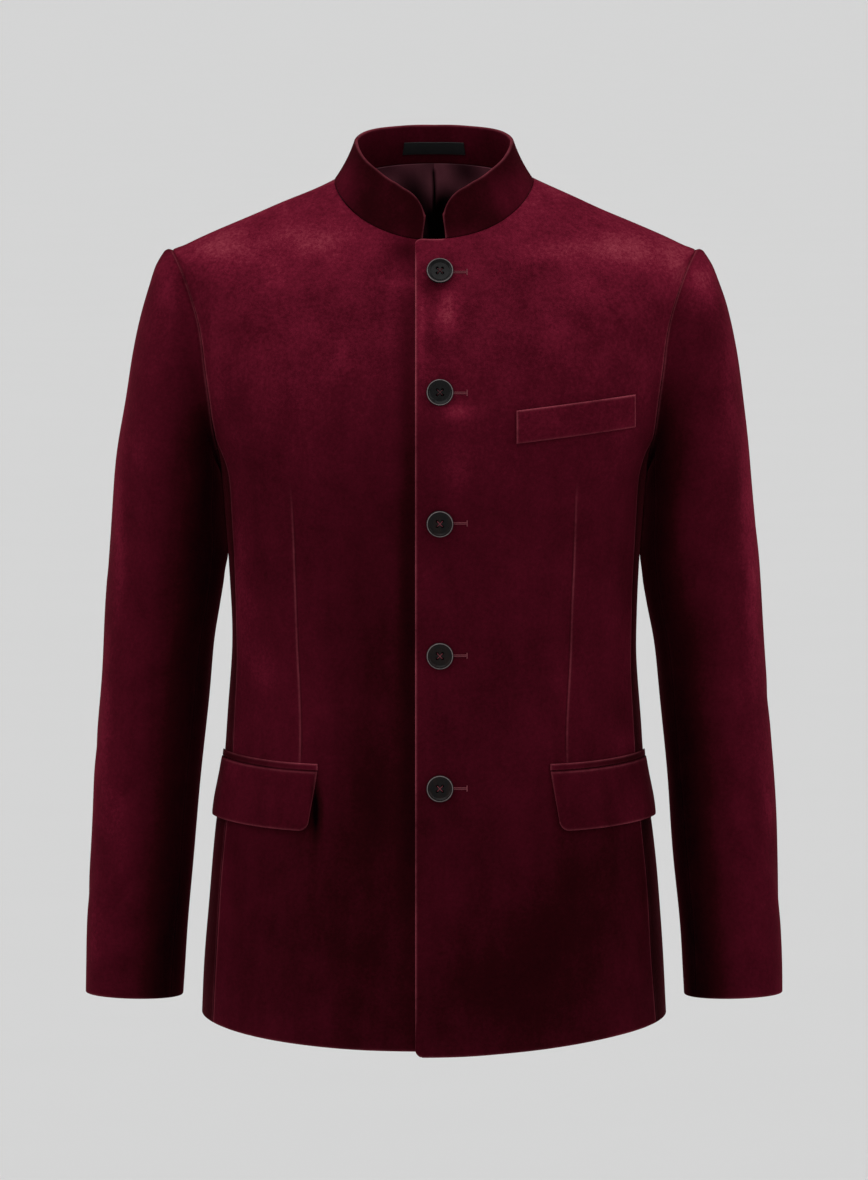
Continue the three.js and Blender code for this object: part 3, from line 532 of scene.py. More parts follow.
def body_point(level, turn):
    """The mean of the sections at, just above and just below a level, most spread at 45 degrees."""
    level, turn = np.broadcast_arrays(np.asarray(level, float), np.asarray(turn, float))
    room = np.maximum(0, np.minimum(NECK - level, level - HEM))
    spread = np.minimum(SOFTENING * np.sin(2 * turn) ** 2, room)
    shares = (-1, -0.5, 0, 0.5, 1)
    return sum(section_point(level + share * spread, turn) for share in shares) / len(shares)


HALVINGS = 40
LEVEL_STEP = 1
TURN_STEP = 0.004
PLACE_STEP = 0.05
ANGLE_STEP = 0.5
PLACE_ROOM = 0.06  # the sleeve's normals are worked out no nearer to its ends than this


def normal_of(surface, u, v, step_u, step_v):
    """A surface's outward normal: the cross product of its two rates of change."""
    along_u = surface(u + step_u, v) - surface(u - step_u, v)
    along_v = surface(u, v + step_v) - surface(u, v - step_v)
    return unit(np.cross(along_v, along_u))


def body_normal(level, turn):
    """The body's outward normal."""
    level = np.clip(level, HEM + LEVEL_STEP, NECK - LEVEL_STEP)
    return normal_of(body_point, level, turn, LEVEL_STEP, TURN_STEP)


def turn_at_depth(level, depth):
    """The turn at which a section has this depth: the superellipse solved for its other side."""
    deep = np.where(depth < 0, BODY["front"](level), BODY["back"](level))
    power = BODY["power"](level)
    share = np.minimum(1, np.abs(depth) / deep)
    out = BODY["side"](level) * (1 - share**power) ** (1 / power)
    return np.arctan2(out, -depth)


def turn_at_x(level, x):
    """The turn at which a section's front is x from the middle."""
    power = BODY["power"](level)
    share = np.minimum(1, np.abs(x) / BODY["side"](level))
    return np.arctan2(x, BODY["front"](level) * (1 - share**power) ** (1 / power))


def front_level(x, z):
    """The level whose section passes through x and z in the front view, found by halving."""
    low = np.full(np.shape(x), float(HEM))
    high = np.full(np.shape(x), float(NECK))
    for _ in range(HALVINGS):
        level = (low + high) / 2
        below = body_point(level, turn_at_x(level, x))[..., 2] < z
        low = np.where(below, level, low)
        high = np.where(below, high, level)
    return low


def front_spot(x, z):
    """Points and normals of the body's front at x and z in the front view."""
    level = front_level(x, z)
    turn = turn_at_x(level, x)
    return body_point(level, turn), body_normal(level, turn)


def sleeve_oval(place, angle):
    """A plain oval of the sleeve: a cosine between its inner and outer end, a power of the sine deep."""
    across = (1 + np.cos(np.radians(angle))) / 2
    sine = np.sin(np.radians(angle))
    deep = SLEEVE_CURVES["deep"](place) * np.sign(sine) * np.abs(sine) ** SLEEVE_FULLNESS
    x = mix(SLEEVE_CURVES["in_x"](place), SLEEVE_CURVES["out_x"](place), across)
    y = SLEEVE_CURVES["mid"](place) - deep
    z = mix(SLEEVE_CURVES["in_z"](place), SLEEVE_CURVES["out_z"](place), across)
    return np.stack([x, y, z], axis=-1)


def sleeve_point(place, angle):
    """The oval plus the armhole's own difference from it, fading with the square of the way along."""
    place, angle = np.broadcast_arrays(np.asarray(place, float), np.asarray(angle, float))
    hole = np.mod(angle, 360)
    level = armhole_level(hole)
    own = body_point(level, turn_at_depth(level, armhole_depth(hole))) - sleeve_oval(0 * place, angle)
    left = np.maximum(0, 1 - place / ARMHOLE_FADE)[..., None]
    return sleeve_oval(place, angle) + own * left**2


def sleeve_normal(place, angle):
    """The sleeve's outward normal."""
    place = np.clip(place, PLACE_ROOM, len(SLEEVE) - 1 - PLACE_ROOM)
    return normal_of(sleeve_point, place, angle, PLACE_STEP, ANGLE_STEP)


# ---------------------------------------------------------------- grids of cloth

FINE = np.array([0, 0.12, 0.35, 0.7, 1.15, 1.8, 2.8, 4.2])  # how far the first rows are from an edge
SEAM_FADE = 3.0  # the soft dip along a seam falls to about a third over this distance
# Painted shade down seams and grooves, and painted highlights beside seams, along folds and inside.
SEAM_SHADE_WIDTH = 0.8
SEAM_HIGHLIGHT = {"away": 1.7, "width": 0.8}
FOLD_SHARE = 0.94  # a whole half circle would leave the wall no thickness at its edge
FOLD_HIGHLIGHT = 1.1
GROOVE_SHADE = 0.6
INSIDE_TONE = 0.26
INSIDE_HIGHLIGHT = 0.6


def stations(length, step, fine_start=True, fine_end=True):
    """Shares of a length, close together near its fine ends and a step apart between them."""
    low = FINE if fine_start else FINE[:1]
    high = length - FINE[::-1] if fine_end else np.array([length])
    count = max(2, round((high[0] - low[-1]) / step))
    middle = np.linspace(low[-1], high[0], count + 1)[1:-1]
    return np.concatenate([low, middle, high]) / length


def edge_distances(points):
    """How far each point of a grid is from its four edges, along its own row or column."""
    across = np.linalg.norm(np.diff(points, axis=1), axis=2)
    up = np.linalg.norm(np.diff(points, axis=0), axis=2)
    from_first = np.pad(np.cumsum(across, axis=1), ((0, 0), (1, 0)))
    from_bottom = np.pad(np.cumsum(up, axis=0), ((1, 0), (0, 0)))
    return {
        "first": from_first,
        "last": from_first[:, -1:] - from_first,
        "bottom": from_bottom,
        "top": from_bottom[-1:, :] - from_bottom,
    }


def rounding(distance, radius):
    """How far a quarter circle has dropped at a distance from its edge: r - sqrt(r^2 - (r - d)^2)."""
    left = np.clip(1 - distance / radius, 0, 1)
    return radius * (1 - np.sqrt(1 - left**2))


# For each view, the two axes that it shows and the way that the cloth faces it.
VIEWS = {
    "front": (0, 2, np.array([0, -1, 0])),
    "back": (0, 2, np.array([0, 1, 0])),
    "outer": (1, 2, np.array([1, 0, 0])),
}
# How squarely cloth has to face a view for a mark to start and to be whole.
CREASE_SEEN = (0.1, 0.6)
TONE_SEEN = (-0.1, 0.5)
CREASE_TAPER = 0.8
CREASE_RIDGE = 0.5
# Painted light from above: how much brighter cloth that faces up is painted, and over which upward shares of
# its normal that comes in.
PAINTED_TOP_LIGHT = {"tone": 0.10, "seen": (0.2, 0.9)}
# Heights below the origin over which the sleeve is painted darker towards the cuff.
SLEEVE_TONE_DOWN = (60, 700)


def crease_depth(points, normals, creases):
    """How far the listed creases press each point in.

    Across a crease the depth is exp(-q^2)(1 - q^2 / 2), q the distance in half widths, so a low ridge
    runs along each side. Along it the depth is a power of the sine, and it fades where the cloth turns
    away from the view.
    """
    total = np.zeros(points.shape[:2])
    for view, start, end, bow, width, depth in creases:
        first, second, facing = VIEWS[view]
        flat = np.stack([points[..., first], points[..., second]], axis=-1)
        run = np.subtract(end, start)
        length = np.hypot(*run)
        ahead = run / length
        left = np.array([-ahead[1], ahead[0]])
        along = (flat - start) @ ahead / length
        side = (flat - start) @ left - bow * 4 * along * (1 - along)
        window = np.sin(np.pi * np.clip(along, 0, 1)) ** CREASE_TAPER
        q2 = (side / width) ** 2
        seen = smooth(normals @ facing, *CREASE_SEEN)
        total += depth * window * seen * np.exp(-q2) * (1 - CREASE_RIDGE * q2)
    return total


def swell(points):
    """A sum of slow sine waves over the cloth."""
    total = np.zeros(points.shape[:2])
    for rate, start, height in SWELLS:
        total += height * np.sin(2 * np.pi * (points @ np.array(rate) * METRES + start))
    return total


def patch_tone(points, normals, patches):
    """The tone's painted light and shade and patches of pile: soft ovals that fade as exp(-distance^2)."""
    total = np.zeros(points.shape[:2])
    for view, middle, half, strength in patches:
        first, second, facing = VIEWS[view]
        across = (points[..., first] - middle[0]) / half[0]
        up = (points[..., second] - middle[1]) / half[1]
        seen = smooth(normals @ facing, *TONE_SEEN)
        total += strength * seen * np.exp(-(across**2) - up**2)
    return total


def body_tone(points, normals):
    """The body's tone, painted light from above: a curve of the height, brighter where cloth faces up."""
    up = PAINTED_TOP_LIGHT["tone"] * smooth(normals[..., 2], *PAINTED_TOP_LIGHT["seen"])
    return BODY_TONE_CURVE(points[..., 2]) + up


def sleeve_tone(points, angles):
    """The sleeve's tone, painted shade inside: a curve of the cosine round it, less a share of the way down.
    """
    down = smooth(-points[..., 2], *SLEEVE_TONE_DOWN)
    return SLEEVE_TONE_CURVE(np.cos(np.radians(angles))) - SLEEVE_TONE_FALL * down


def wall_between(outer, inner):
    """The vertices and quads of the closed wall between two grids, and which quads are inside.

    The outer grid's quads come first, then the inner's turned over, then a strip along each edge.
    """
    rows, columns = outer.shape[:2]
    ids = np.arange(rows * columns).reshape(rows, columns)
    under = ids + rows * columns
    quads = np.stack([ids[:-1, :-1], ids[:-1, 1:], ids[1:, 1:], ids[1:, :-1]], axis=-1).reshape(-1, 4)
    inside = quads[:, ::-1] + rows * columns
    rim = np.concatenate([ids[0, :-1], ids[:-1, -1], ids[-1, :0:-1], ids[:0:-1, 0]])
    ahead = np.roll(rim, -1)
    strip = np.stack([rim, under.ravel()[rim], under.ravel()[ahead], ahead], axis=-1)
    points = np.concatenate([outer.reshape(-1, 3), inner.reshape(-1, 3)])
    faces = np.concatenate([quads, inside, strip])
    is_inside = np.zeros(len(faces), bool)
    is_inside[len(quads) : 2 * len(quads)] = True
    return points, faces, is_inside


def volume_of(points, faces):
    """Six times the signed volume inside quads, as a sum of corner products."""
    a, b, c, d = (points[faces[:, i]] for i in range(4))
    return np.sum(np.cross(a, b) * c) + np.sum(np.cross(a, c) * d)


def mesh_object(name, points, faces, materials, material_ids=None, attributes=None):
    """A smooth-shaded mesh object at the origin, its faces turned outwards, in metres."""
    points = np.asarray(points, float)
    faces = np.asarray(faces)
    if volume_of(points, faces) < 0:
        faces = faces[:, ::-1]
    mesh = bpy.data.meshes.new(name)
    mesh.vertices.add(len(points))
    mesh.vertices.foreach_set("co", (points * METRES).astype(np.float32).ravel())
    mesh.loops.add(faces.size)
    mesh.loops.foreach_set("vertex_index", faces.astype(np.int32).ravel())
    mesh.polygons.add(len(faces))
    mesh.polygons.foreach_set("loop_start", np.arange(0, faces.size, 4, dtype=np.int32))
    for material in materials:
        mesh.materials.append(material)
    if material_ids is not None:
        mesh.polygons.foreach_set("material_index", np.asarray(material_ids, np.int32))
    for key, values in (attributes or {}).items():
        layer = mesh.attributes.new(key, "FLOAT", "POINT")
        layer.data.foreach_set("value", np.asarray(values, np.float32).ravel())
    mesh.update(calc_edges=True)
    if mesh.validate():
        raise RuntimeError(name + " has faces that can't be drawn")
    mesh.shade_smooth()
    piece = bpy.data.objects.new(name, mesh)
    bpy.context.scene.collection.objects.link(piece)
    return piece


def mm(name):
    """A size of the jacket's finish, in millimetres."""
    return getattr(bpy.context.scene.jacket_sizes, name) * MILLIMETRES


def dress(piece, nodes=()):
    """Rides a piece on the body and hides the CAD parts that it stands for."""
    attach(piece, "root")
    if nodes:
        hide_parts(*nodes)
    return piece


def cloth_piece(name, points, normals, side, looks):
    """A closed piece of cloth from the grid of its outer face.

    looks holds the wall's thickness, the tone, and each seam and free edge with how far it is rolled and
    how strong the painted highlight beside it is. It may hold creases, patches of tone, a shape that is
    added to the face, a groove that is taken from it, a painted highlight of its own, the inside's tone,
    whether it swells and how much, whether its inside is lined, and the edges along which that lining gives
    way to velvet. The outer face drops by a quarter circle at each edge. At a free edge the inner face rises
    by one as well, so that the fold is nearly a half circle. Marks for the shader give the tone, which holds
    painted light and shade, painted shade down seams and grooves, and painted highlights beside seams and
    along folds.
    """
    materials = [material("burgundy_velvet")]
    if looks.get("lined"):
        materials.append(material("wine_satin_lining"))
    wall = looks["wall"]
    away = edge_distances(points)
    drop = np.zeros(points.shape[:2])
    rise = np.zeros(points.shape[:2])
    seam_shade = np.zeros(points.shape[:2])
    edge_highlight = np.zeros(points.shape[:2])
    for edge, (rolled, pale) in looks.get("seams", {}).items():
        near = away[edge]
        drop = np.maximum(drop, rolled * rounding(near, mm("seam_roll")))
        drop = drop + rolled * mm("seam_dip") * np.exp(-near / SEAM_FADE)
        # Painted shade down the seam, and a painted highlight on the cloth beside it.
        seam_shade = np.maximum(seam_shade, rolled * bell(near, SEAM_SHADE_WIDTH))
        edge_highlight = np.maximum(edge_highlight, pale * bell(near - SEAM_HIGHLIGHT["away"], SEAM_HIGHLIGHT["width"]))
    for edge, (folded, pale) in looks.get("free", {}).items():
        near = away[edge]
        fold = folded * rounding(near, wall / 2) * FOLD_SHARE
        drop = np.maximum(drop, fold)
        rise = np.maximum(rise, fold)
        # A painted highlight along the folded edge.
        edge_highlight = np.maximum(edge_highlight, pale * bell(near, FOLD_HIGHLIGHT))
    # Any painted highlight of the piece's own, as beside a dart.
    edge_highlight = np.maximum(edge_highlight, looks.get("pale", 0))
    shape = looks.get("shape", 0) - crease_depth(points, normals, looks.get("creases", ()))
    if looks.get("swell", True):
        shape = shape + swell(points * mirror(side)) * looks.get("slack", 1)
    groove = looks.get("groove")
    if groove is not None:
        drop = drop + groove
        # Painted shade in the groove.
        seam_shade = np.maximum(seam_shade, GROOVE_SHADE * np.clip(groove / np.max(groove), 0, 1) ** 2)
    outer = points + normals * (shape - drop)[..., None]
    inner = points + normals * (shape - wall + rise)[..., None]
    verts, faces, inside = wall_between(outer * mirror(side), inner * mirror(side))
    clear_of_facings = np.ones(points.shape[:2], bool)
    for edge in looks.get("facings", ()):
        clear_of_facings &= away[edge] > mm("facing")
    material_ids = np.zeros(len(faces), np.int32)
    if looks.get("lined"):
        material_ids[inside] = clear_of_facings[:-1, :-1].ravel()
    tone = looks["tone"] + patch_tone(points, normals, looks.get("patches", ()))
    hidden_tone = np.full(points.shape[:2], looks.get("hidden_tone", INSIDE_TONE))
    # The tone holds painted light and shade, seam is painted shade and edge is painted highlight.
    marks = {
        "tone": np.concatenate([tone.ravel(), hidden_tone.ravel()]),
        "seam": np.concatenate([seam_shade.ravel(), seam_shade.ravel()]),
        "edge": np.concatenate([edge_highlight.ravel(), edge_highlight.ravel() * INSIDE_HIGHLIGHT]),
    }
    return mesh_object(name, verts, faces, materials, material_ids, marks)


def tube(path, ups, radius, sides, closed=False):
    """The rings of a round cord along a path: centre + r (cos a * side + sin a * up)."""
    path = np.asarray(path, float)
    if closed:
        ahead = np.roll(path, -1, axis=0) - np.roll(path, 1, axis=0)
    else:
        ahead = np.gradient(path, axis=0)
    across = unit(np.cross(unit(ahead), ups))
    up = unit(np.cross(across, unit(ahead)))
    angles = np.linspace(0, 2 * np.pi, sides, endpoint=False)[None, :, None]
    radius = np.broadcast_to(np.asarray(radius, float), len(path))[:, None, None]
    rings = path[:, None] + radius * (np.cos(angles) * across[:, None] + np.sin(angles) * up[:, None])
    ids = np.arange(len(path) * sides).reshape(len(path), sides)
    if closed:
        ids = np.concatenate([ids, ids[:1]])
    beside = np.roll(ids, -1, axis=1)
    faces = np.stack([ids[:-1], beside[:-1], beside[1:], ids[1:]], axis=-1).reshape(-1, 4)
    return rings.reshape(-1, 3), faces


def joined(parts):
    """Several meshes' points and quads as one."""
    starts = np.cumsum([0] + [len(points) for points, _ in parts[:-1]])
    points = np.concatenate([points for points, _ in parts])
    faces = np.concatenate([faces + start for (_, faces), start in zip(parts, starts)])
    return points, faces


# ---------------------------------------------------------------- shaders


class Shade:
    """A shader value that takes part in sums: Shade + 1, 1 - Shade, Shade * Shade."""

    def __init__(self, nodes, socket):
        self.nodes = nodes
        self.socket = socket

    def _math(self, operation, a, b=None, clamp=False):
        """A Math node on one or two values."""
        sockets = {0: a} if b is None else {0: a, 1: b}
        settings = {"operation": operation, "use_clamp": clamp}
        return self.nodes.add("ShaderNodeMath", settings, sockets)

    def __add__(self, other):
        return self._math("ADD", self, other)

    def __radd__(self, other):
        return self._math("ADD", other, self)

    def __sub__(self, other):
        return self._math("SUBTRACT", self, other)

    def __rsub__(self, other):
        return self._math("SUBTRACT", other, self)

    def __mul__(self, other):
        return self._math("MULTIPLY", self, other)

    def __rmul__(self, other):
        return self._math("MULTIPLY", other, self)

    def clamped(self):
        """The value held between 0 and 1."""
        return self._math("ADD", self, 0, clamp=True)


class Nodes:
    """One material's node tree. Every node comes from add()."""

    def __init__(self, name):
        self.material = bpy.data.materials.new(name)
        self.material.use_nodes = True
        self.tree = self.material.node_tree
        self.tree.nodes.clear()

    def add(self, kind, settings=None, sockets=None, output=0):
        """A node of this kind, its settings made first and then its sockets given values or links."""
        node = self.tree.nodes.new(kind)
        for key, value in (settings or {}).items():
            if key == "stops":
                self._set_stops(node.color_ramp, value)
            else:
                setattr(node, key, value)
        for key, value in (sockets or {}).items():
            socket = self._socket(node.inputs, key)
            if isinstance(value, Shade):
                self.tree.links.new(value.socket, socket)
            else:
                socket.default_value = value
        return None if output is None else Shade(self, self._socket(node.outputs, output))

    @staticmethod
    def _socket(sockets, key):
        """The socket with this number, identifier or name."""
        if isinstance(key, int):
            return sockets[key]
        by_identifier = [s for s in sockets if s.identifier == key]
        return by_identifier[0] if by_identifier else sockets[key]

    @staticmethod
    def _set_stops(ramp, stops):
        """Gives a colour ramp its stops, each a place and a colour."""
        while len(ramp.elements) < len(stops):
            ramp.elements.new(1.0)
        for element, (place, colour) in zip(ramp.elements, stops):
            element.position = place
            element.color = colour

    def place(self, scale=(1, 1, 1)):
        """The object's own coordinates in metres, scaled."""
        spot = self.add("ShaderNodeTexCoord", output="Object")
        return self.add("ShaderNodeMapping", sockets={"Vector": spot, "Scale": scale})

    def noise(self, scale, detail=2.0, stretch=(1, 1, 1), roughness=0.5, distortion=0.0):
        """Cloudy values from 0 to 1, scale lumps to the metre."""
        sockets = {
            "Vector": self.place(stretch),
            "Scale": scale,
            "Detail": detail,
            "Roughness": roughness,
            "Distortion": distortion,
        }
        return self.add("ShaderNodeTexNoise", {"noise_dimensions": "3D"}, sockets)

    def mark(self, name):
        """A value that the mesh carries at its points."""
        return self.add("ShaderNodeAttribute", {"attribute_name": name}, output="Fac")

    def blend(self, a, b, share):
        """Colour a where share is 0 and b where it is 1."""
        sockets = {"Factor_Float": share, "A_Color": a, "B_Color": b}
        settings = {"data_type": "RGBA", "clamp_factor": True}
        return self.add("ShaderNodeMix", settings, sockets, output="Result_Color")

    def bump(self, height, strength, distance):
        """A normal that follows a height, distance metres high where it is 1."""
        sockets = {"Height": height, "Strength": strength, "Distance": distance}
        return self.add("ShaderNodeBump", sockets=sockets)

    def finish(self, **sockets):
        """The material, with its one glossy shader's sockets given by name."""
        named = {key.replace("_", " "): value for key, value in sockets.items()}
        shader = self.add("ShaderNodeBsdfPrincipled", sockets=named, output="BSDF")
        self.add("ShaderNodeOutputMaterial", sockets={"Surface": shader}, output=None)
        return self.material


def rgba(colour):
    """A colour property as four numbers."""
    return (*colour, 1.0)


def velvet_material(name):
    """Deep-piled velvet: its tone, clouded and specked, runs from black through burgundy to pale rose.

    The tone holds the pile's own patches and painted light and shade. The specks grow with the tone, so that
    bright places, brushed pile and painted light alike, look hazed and deep ones smooth. Painted highlights
    run beside seams and along folds, and painted shade darkens the seams and grooves.
    """
    colours = bpy.context.scene.jacket_colours
    nodes = Nodes(name)
    cloud = nodes.noise(7, 3)
    blotch = nodes.noise(30, 4, roughness=0.6)
    streak = nodes.noise(42, 3, stretch=(1.5, 1.5, 0.4))
    grain = nodes.noise(330, 3, roughness=0.75)
    pile = nodes.noise(1500, 2, roughness=0.7)
    tone = nodes.mark("tone")
    speck = grain * 0.6 + pile * 0.4 - 0.5
    cloudy = (cloud - 0.5) * 0.16 + (streak - 0.5) * 0.10 + (blotch - 0.5) * 0.12
    hazed = (tone * 1.8 - 0.5).clamped() * ((blotch - 0.5) * 0.45 + speck * 1.1)
    varied = (tone + cloudy + hazed + speck * 0.22).clamped()
    stops = [
        (0.0, rgba(colours.velvet_black)),
        (0.2, rgba(colours.velvet_deep)),
        (0.4, rgba(colours.velvet)),
        (0.6, rgba(colours.velvet_lit)),
        (0.8, rgba(colours.velvet_rose)),
        (1.0, rgba(colours.velvet_haze)),
    ]
    colour = nodes.add("ShaderNodeValToRGB", {"stops": stops}, {"Fac": varied}, output="Color")
    # Painted highlight beside seams and along folds, stronger where the tone is painted lit.
    edge = nodes.mark("edge") * (tone * 2.4).clamped() * (blotch * 1.5 + speck * 0.8 - 0.2)
    colour = nodes.blend(colour, rgba(colours.velvet_edge_highlight), (edge * 0.85).clamped())
    # Painted shade down seams and grooves.
    colour = nodes.blend(colour, rgba(colours.velvet_black), (nodes.mark("seam") * 0.55).clamped())
    height = pile * 0.6 + grain * 0.9 + blotch * 1.2
    return nodes.finish(
        Base_Color=colour,
        Roughness=0.9,
        Specular_IOR_Level=0.01,
        Sheen_Weight=0.12,
        Sheen_Roughness=0.35,
        Sheen_Tint=rgba(colours.velvet_sheen),
        Normal=nodes.bump(height, 0.45, 0.0006),
    )


def lining_material(name):
    """Satin lining: smooth, with a fine diagonal weave and soft streaks."""
    colours = bpy.context.scene.jacket_colours
    nodes = Nodes(name)
    cloud = nodes.noise(28, 3, distortion=0.5)
    thread = nodes.noise(1500, 2, stretch=(1, 1, 0.12))
    share = ((cloud - 0.5) * 1.6 + thread * 0.3 + 0.35).clamped()
    colour = nodes.blend(rgba(colours.lining_deep), rgba(colours.lining), share)
    colour = nodes.blend(colour, rgba(colours.velvet_black), nodes.mark("shade"))
    twill = nodes.add(
        "ShaderNodeTexWave",
        {"wave_type": "BANDS", "bands_direction": "DIAGONAL"},
        {"Vector": nodes.place(), "Scale": 420.0, "Distortion": 0.4},
        output="Fac",
    )
    return nodes.finish(
        Base_Color=colour,
        Roughness=(thread * 0.15 + 0.34),
        Specular_IOR_Level=0.07,
        Sheen_Weight=0.03,
        Sheen_Roughness=0.4,
        Sheen_Tint=rgba(colours.lining),
        Normal=nodes.bump(twill * 0.4 + thread * 0.6, 0.35, 0.0002),
    )


def label_material(name):
    """Black woven satin: fine ribs across and a faint wear."""
    colours = bpy.context.scene.jacket_colours
    nodes = Nodes(name)
    ribs = nodes.noise(1800, 2, stretch=(0.08, 0.08, 1))
    cloud = nodes.noise(60, 3)
    colour = nodes.blend(rgba(colours.label), rgba(colours.label_worn), (cloud * 0.4 + ribs * 0.3).clamped())
    return nodes.finish(
        Base_Color=colour,
        Roughness=(ribs * 0.2 + 0.42),
        Specular_IOR_Level=0.4,
        Normal=nodes.bump(ribs, 0.5, 0.00015),
    )


def horn_material(name, base, streaked, highlit):
    """Dark horn: streaks under a polish, fine scratches and a flecked painted highlight on the rim."""
    nodes = Nodes(name)
    streak = nodes.noise(110, 4, stretch=(1, 1, 0.35), distortion=1.2)
    fleck = nodes.noise(420, 2)
    share = ((streak - 0.45) * 2.4 + fleck * 0.25 - 0.05).clamped()
    colour = nodes.blend(base, streaked, share)
    # Painted highlight on the rim.
    colour = nodes.blend(colour, highlit, (nodes.mark("edge") * (fleck + 0.3)).clamped())
    scratch = nodes.noise(900, 2, stretch=(0.2, 1, 1))
    return nodes.finish(
        Base_Color=colour,
        Roughness=(scratch * 0.18 + 0.26),
        Specular_IOR_Level=0.12,
        Coat_Weight=0.05,
        Coat_Roughness=0.1,
        Normal=nodes.bump(scratch * 0.5 + streak * 0.5, 0.12, 0.0002),
    )


def thread_material(name, colour, paler):
    """Twisted sewing thread."""
    nodes = Nodes(name)
    twist = nodes.noise(2400, 2, stretch=(1, 1, 0.6))
    return nodes.finish(
        Base_Color=nodes.blend(colour, paler, (twist * 1.4 - 0.2).clamped()),
        Roughness=0.62,
        Specular_IOR_Level=0.35,
        Sheen_Weight=0.4,
        Sheen_Roughness=0.4,
        Sheen_Tint=paler,
        Normal=nodes.bump(twist, 0.7, 0.0003),
    )


# Each finish's maker and the colours that are handed to it.
FINISHES = {
    "burgundy_velvet": (velvet_material,),
    "wine_satin_lining": (lining_material,),
    "black_woven_label": (label_material,),
    "charcoal_horn": (horn_material, "horn_black", "horn_grey", "horn_rim_highlight"),
    "brown_horn": (horn_material, "horn_black", "horn_brown", "horn_rim_highlight"),
    "buttonhole_thread": (thread_material, "thread", "thread_pale"),
    "dark_thread": (thread_material, "velvet_deep", "velvet"),
}


def material(name):
    """A finish of the jacket, made the first time it is asked for."""
    known = bpy.data.materials.get(name)
    if known:
        return known
    maker, *tones = FINISHES[name]
    colours = bpy.context.scene.jacket_colours
    return maker(name, *(rgba(getattr(colours, tone)) for tone in tones))


# ---------------------------------------------------------------- sizes and colours that a user changes


def size(name, text, value, **more):
    """A length property in metres."""
    return bpy.props.FloatProperty(name=name, description=text, default=value, unit="LENGTH", **more)


def tint(name, text, value):
    """A colour property."""
    return bpy.props.FloatVectorProperty(
        name=name, description=text, default=value, size=3, subtype="COLOR", min=0, max=1
    )


def button_radius():
    """The radius of the frame's first button."""
    low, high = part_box("button_1")
    return (high.x - low.x) / 2


class JacketSizes(bpy.types.PropertyGroup):
    """Sizes of the jacket's finish."""

    step: size("Cloth step", "Distance between the cloth's rows and columns", 0.0034, min=0.001)
    seam_roll: size("Seam roll", "Radius at which the cloth turns into a seam", 0.0007, min=0.0001)
    seam_dip: size("Seam dip", "How far the cloth sinks softly towards a seam", 0.0004, min=0)
    facing: size("Facing", "Width of the velvet that is turned up inside an edge", 0.035, min=0)
    roping: size("Roping", "Height of the soft ridge round the top of the sleeve", 0.0016, min=0)
    button: size("Button radius", "Radius of a button", button_radius(), min=0.002)
    thread: size("Thread", "Radius of the buttonhole's stitched edge", 0.00045, min=0.0001)
    pleat: size("Lining pleat", "Depth of the pleat at the middle of the lining", 0.004, min=0)


class JacketColours(bpy.types.PropertyGroup):
    """Colours of the jacket's finish."""

    # The velvet's tones run from black to haze as the painted tone rises: the dark ones stand for painted
    # shade and pile that lies away, the brushed and haze ones for painted light and brushed pile. Velvet,
    # black is also the painted shade down seams and in the lining.
    velvet_black: tint("Velvet, black", "The pile that lies right away", (0.0016, 0.0002, 0.0003))
    velvet_deep: tint("Velvet, deep", "The pile that lies away", (0.019, 0.0012, 0.0026))
    velvet: tint("Velvet", "The velvet's middle tone", (0.064, 0.0034, 0.010))
    velvet_lit: tint("Velvet, lit", "The pile that stands up", (0.145, 0.0085, 0.024))
    velvet_rose: tint("Velvet, brushed", "The pile that is brushed over", (0.25, 0.032, 0.052))
    velvet_haze: tint("Velvet, haze", "The pile that is brushed flat", (0.36, 0.09, 0.115))
    # Painted highlight beside seams and along folded edges, with the pile pressed there.
    velvet_edge_highlight: tint("Velvet, edges", "The pile pressed along folded edges", (0.42, 0.085, 0.115))
    velvet_sheen: tint("Velvet sheen", "The shine seen across the pile", (0.9, 0.1, 0.16))
    lining: tint("Lining", "The satin lining", (0.26, 0.08, 0.105))
    lining_deep: tint("Lining, deep", "The satin lining's darker tone", (0.13, 0.03, 0.048))
    label: tint("Label", "The woven label", (0.002, 0.002, 0.0025))
    label_worn: tint("Label, worn", "The woven label's paler threads", (0.008, 0.008, 0.009))
    horn_black: tint("Horn, black", "The buttons' dark ground", (0.002, 0.0018, 0.0018))
    horn_grey: tint("Horn, grey", "Streaks in the upper buttons", (0.007, 0.0065, 0.007))
    horn_brown: tint("Horn, brown", "Streaks in the lower buttons", (0.014, 0.005, 0.0035))
    # Painted highlight on the buttons' rim.
    horn_rim_highlight: tint("Horn, rim", "The buttons' rubbed rim", (0.26, 0.22, 0.22))
    thread: tint("Thread", "The thread of the buttonholes", (0.075, 0.007, 0.014))
    thread_pale: tint("Thread, pale", "The thread's bright side", (0.20, 0.03, 0.045))
    floor: tint("Floor", "The floor", (0.73, 0.73, 0.73))
    surround: tint("Surround", "The light all round", (0.26, 0.26, 0.26))


# ---------------------------------------------------------------- the body's panels


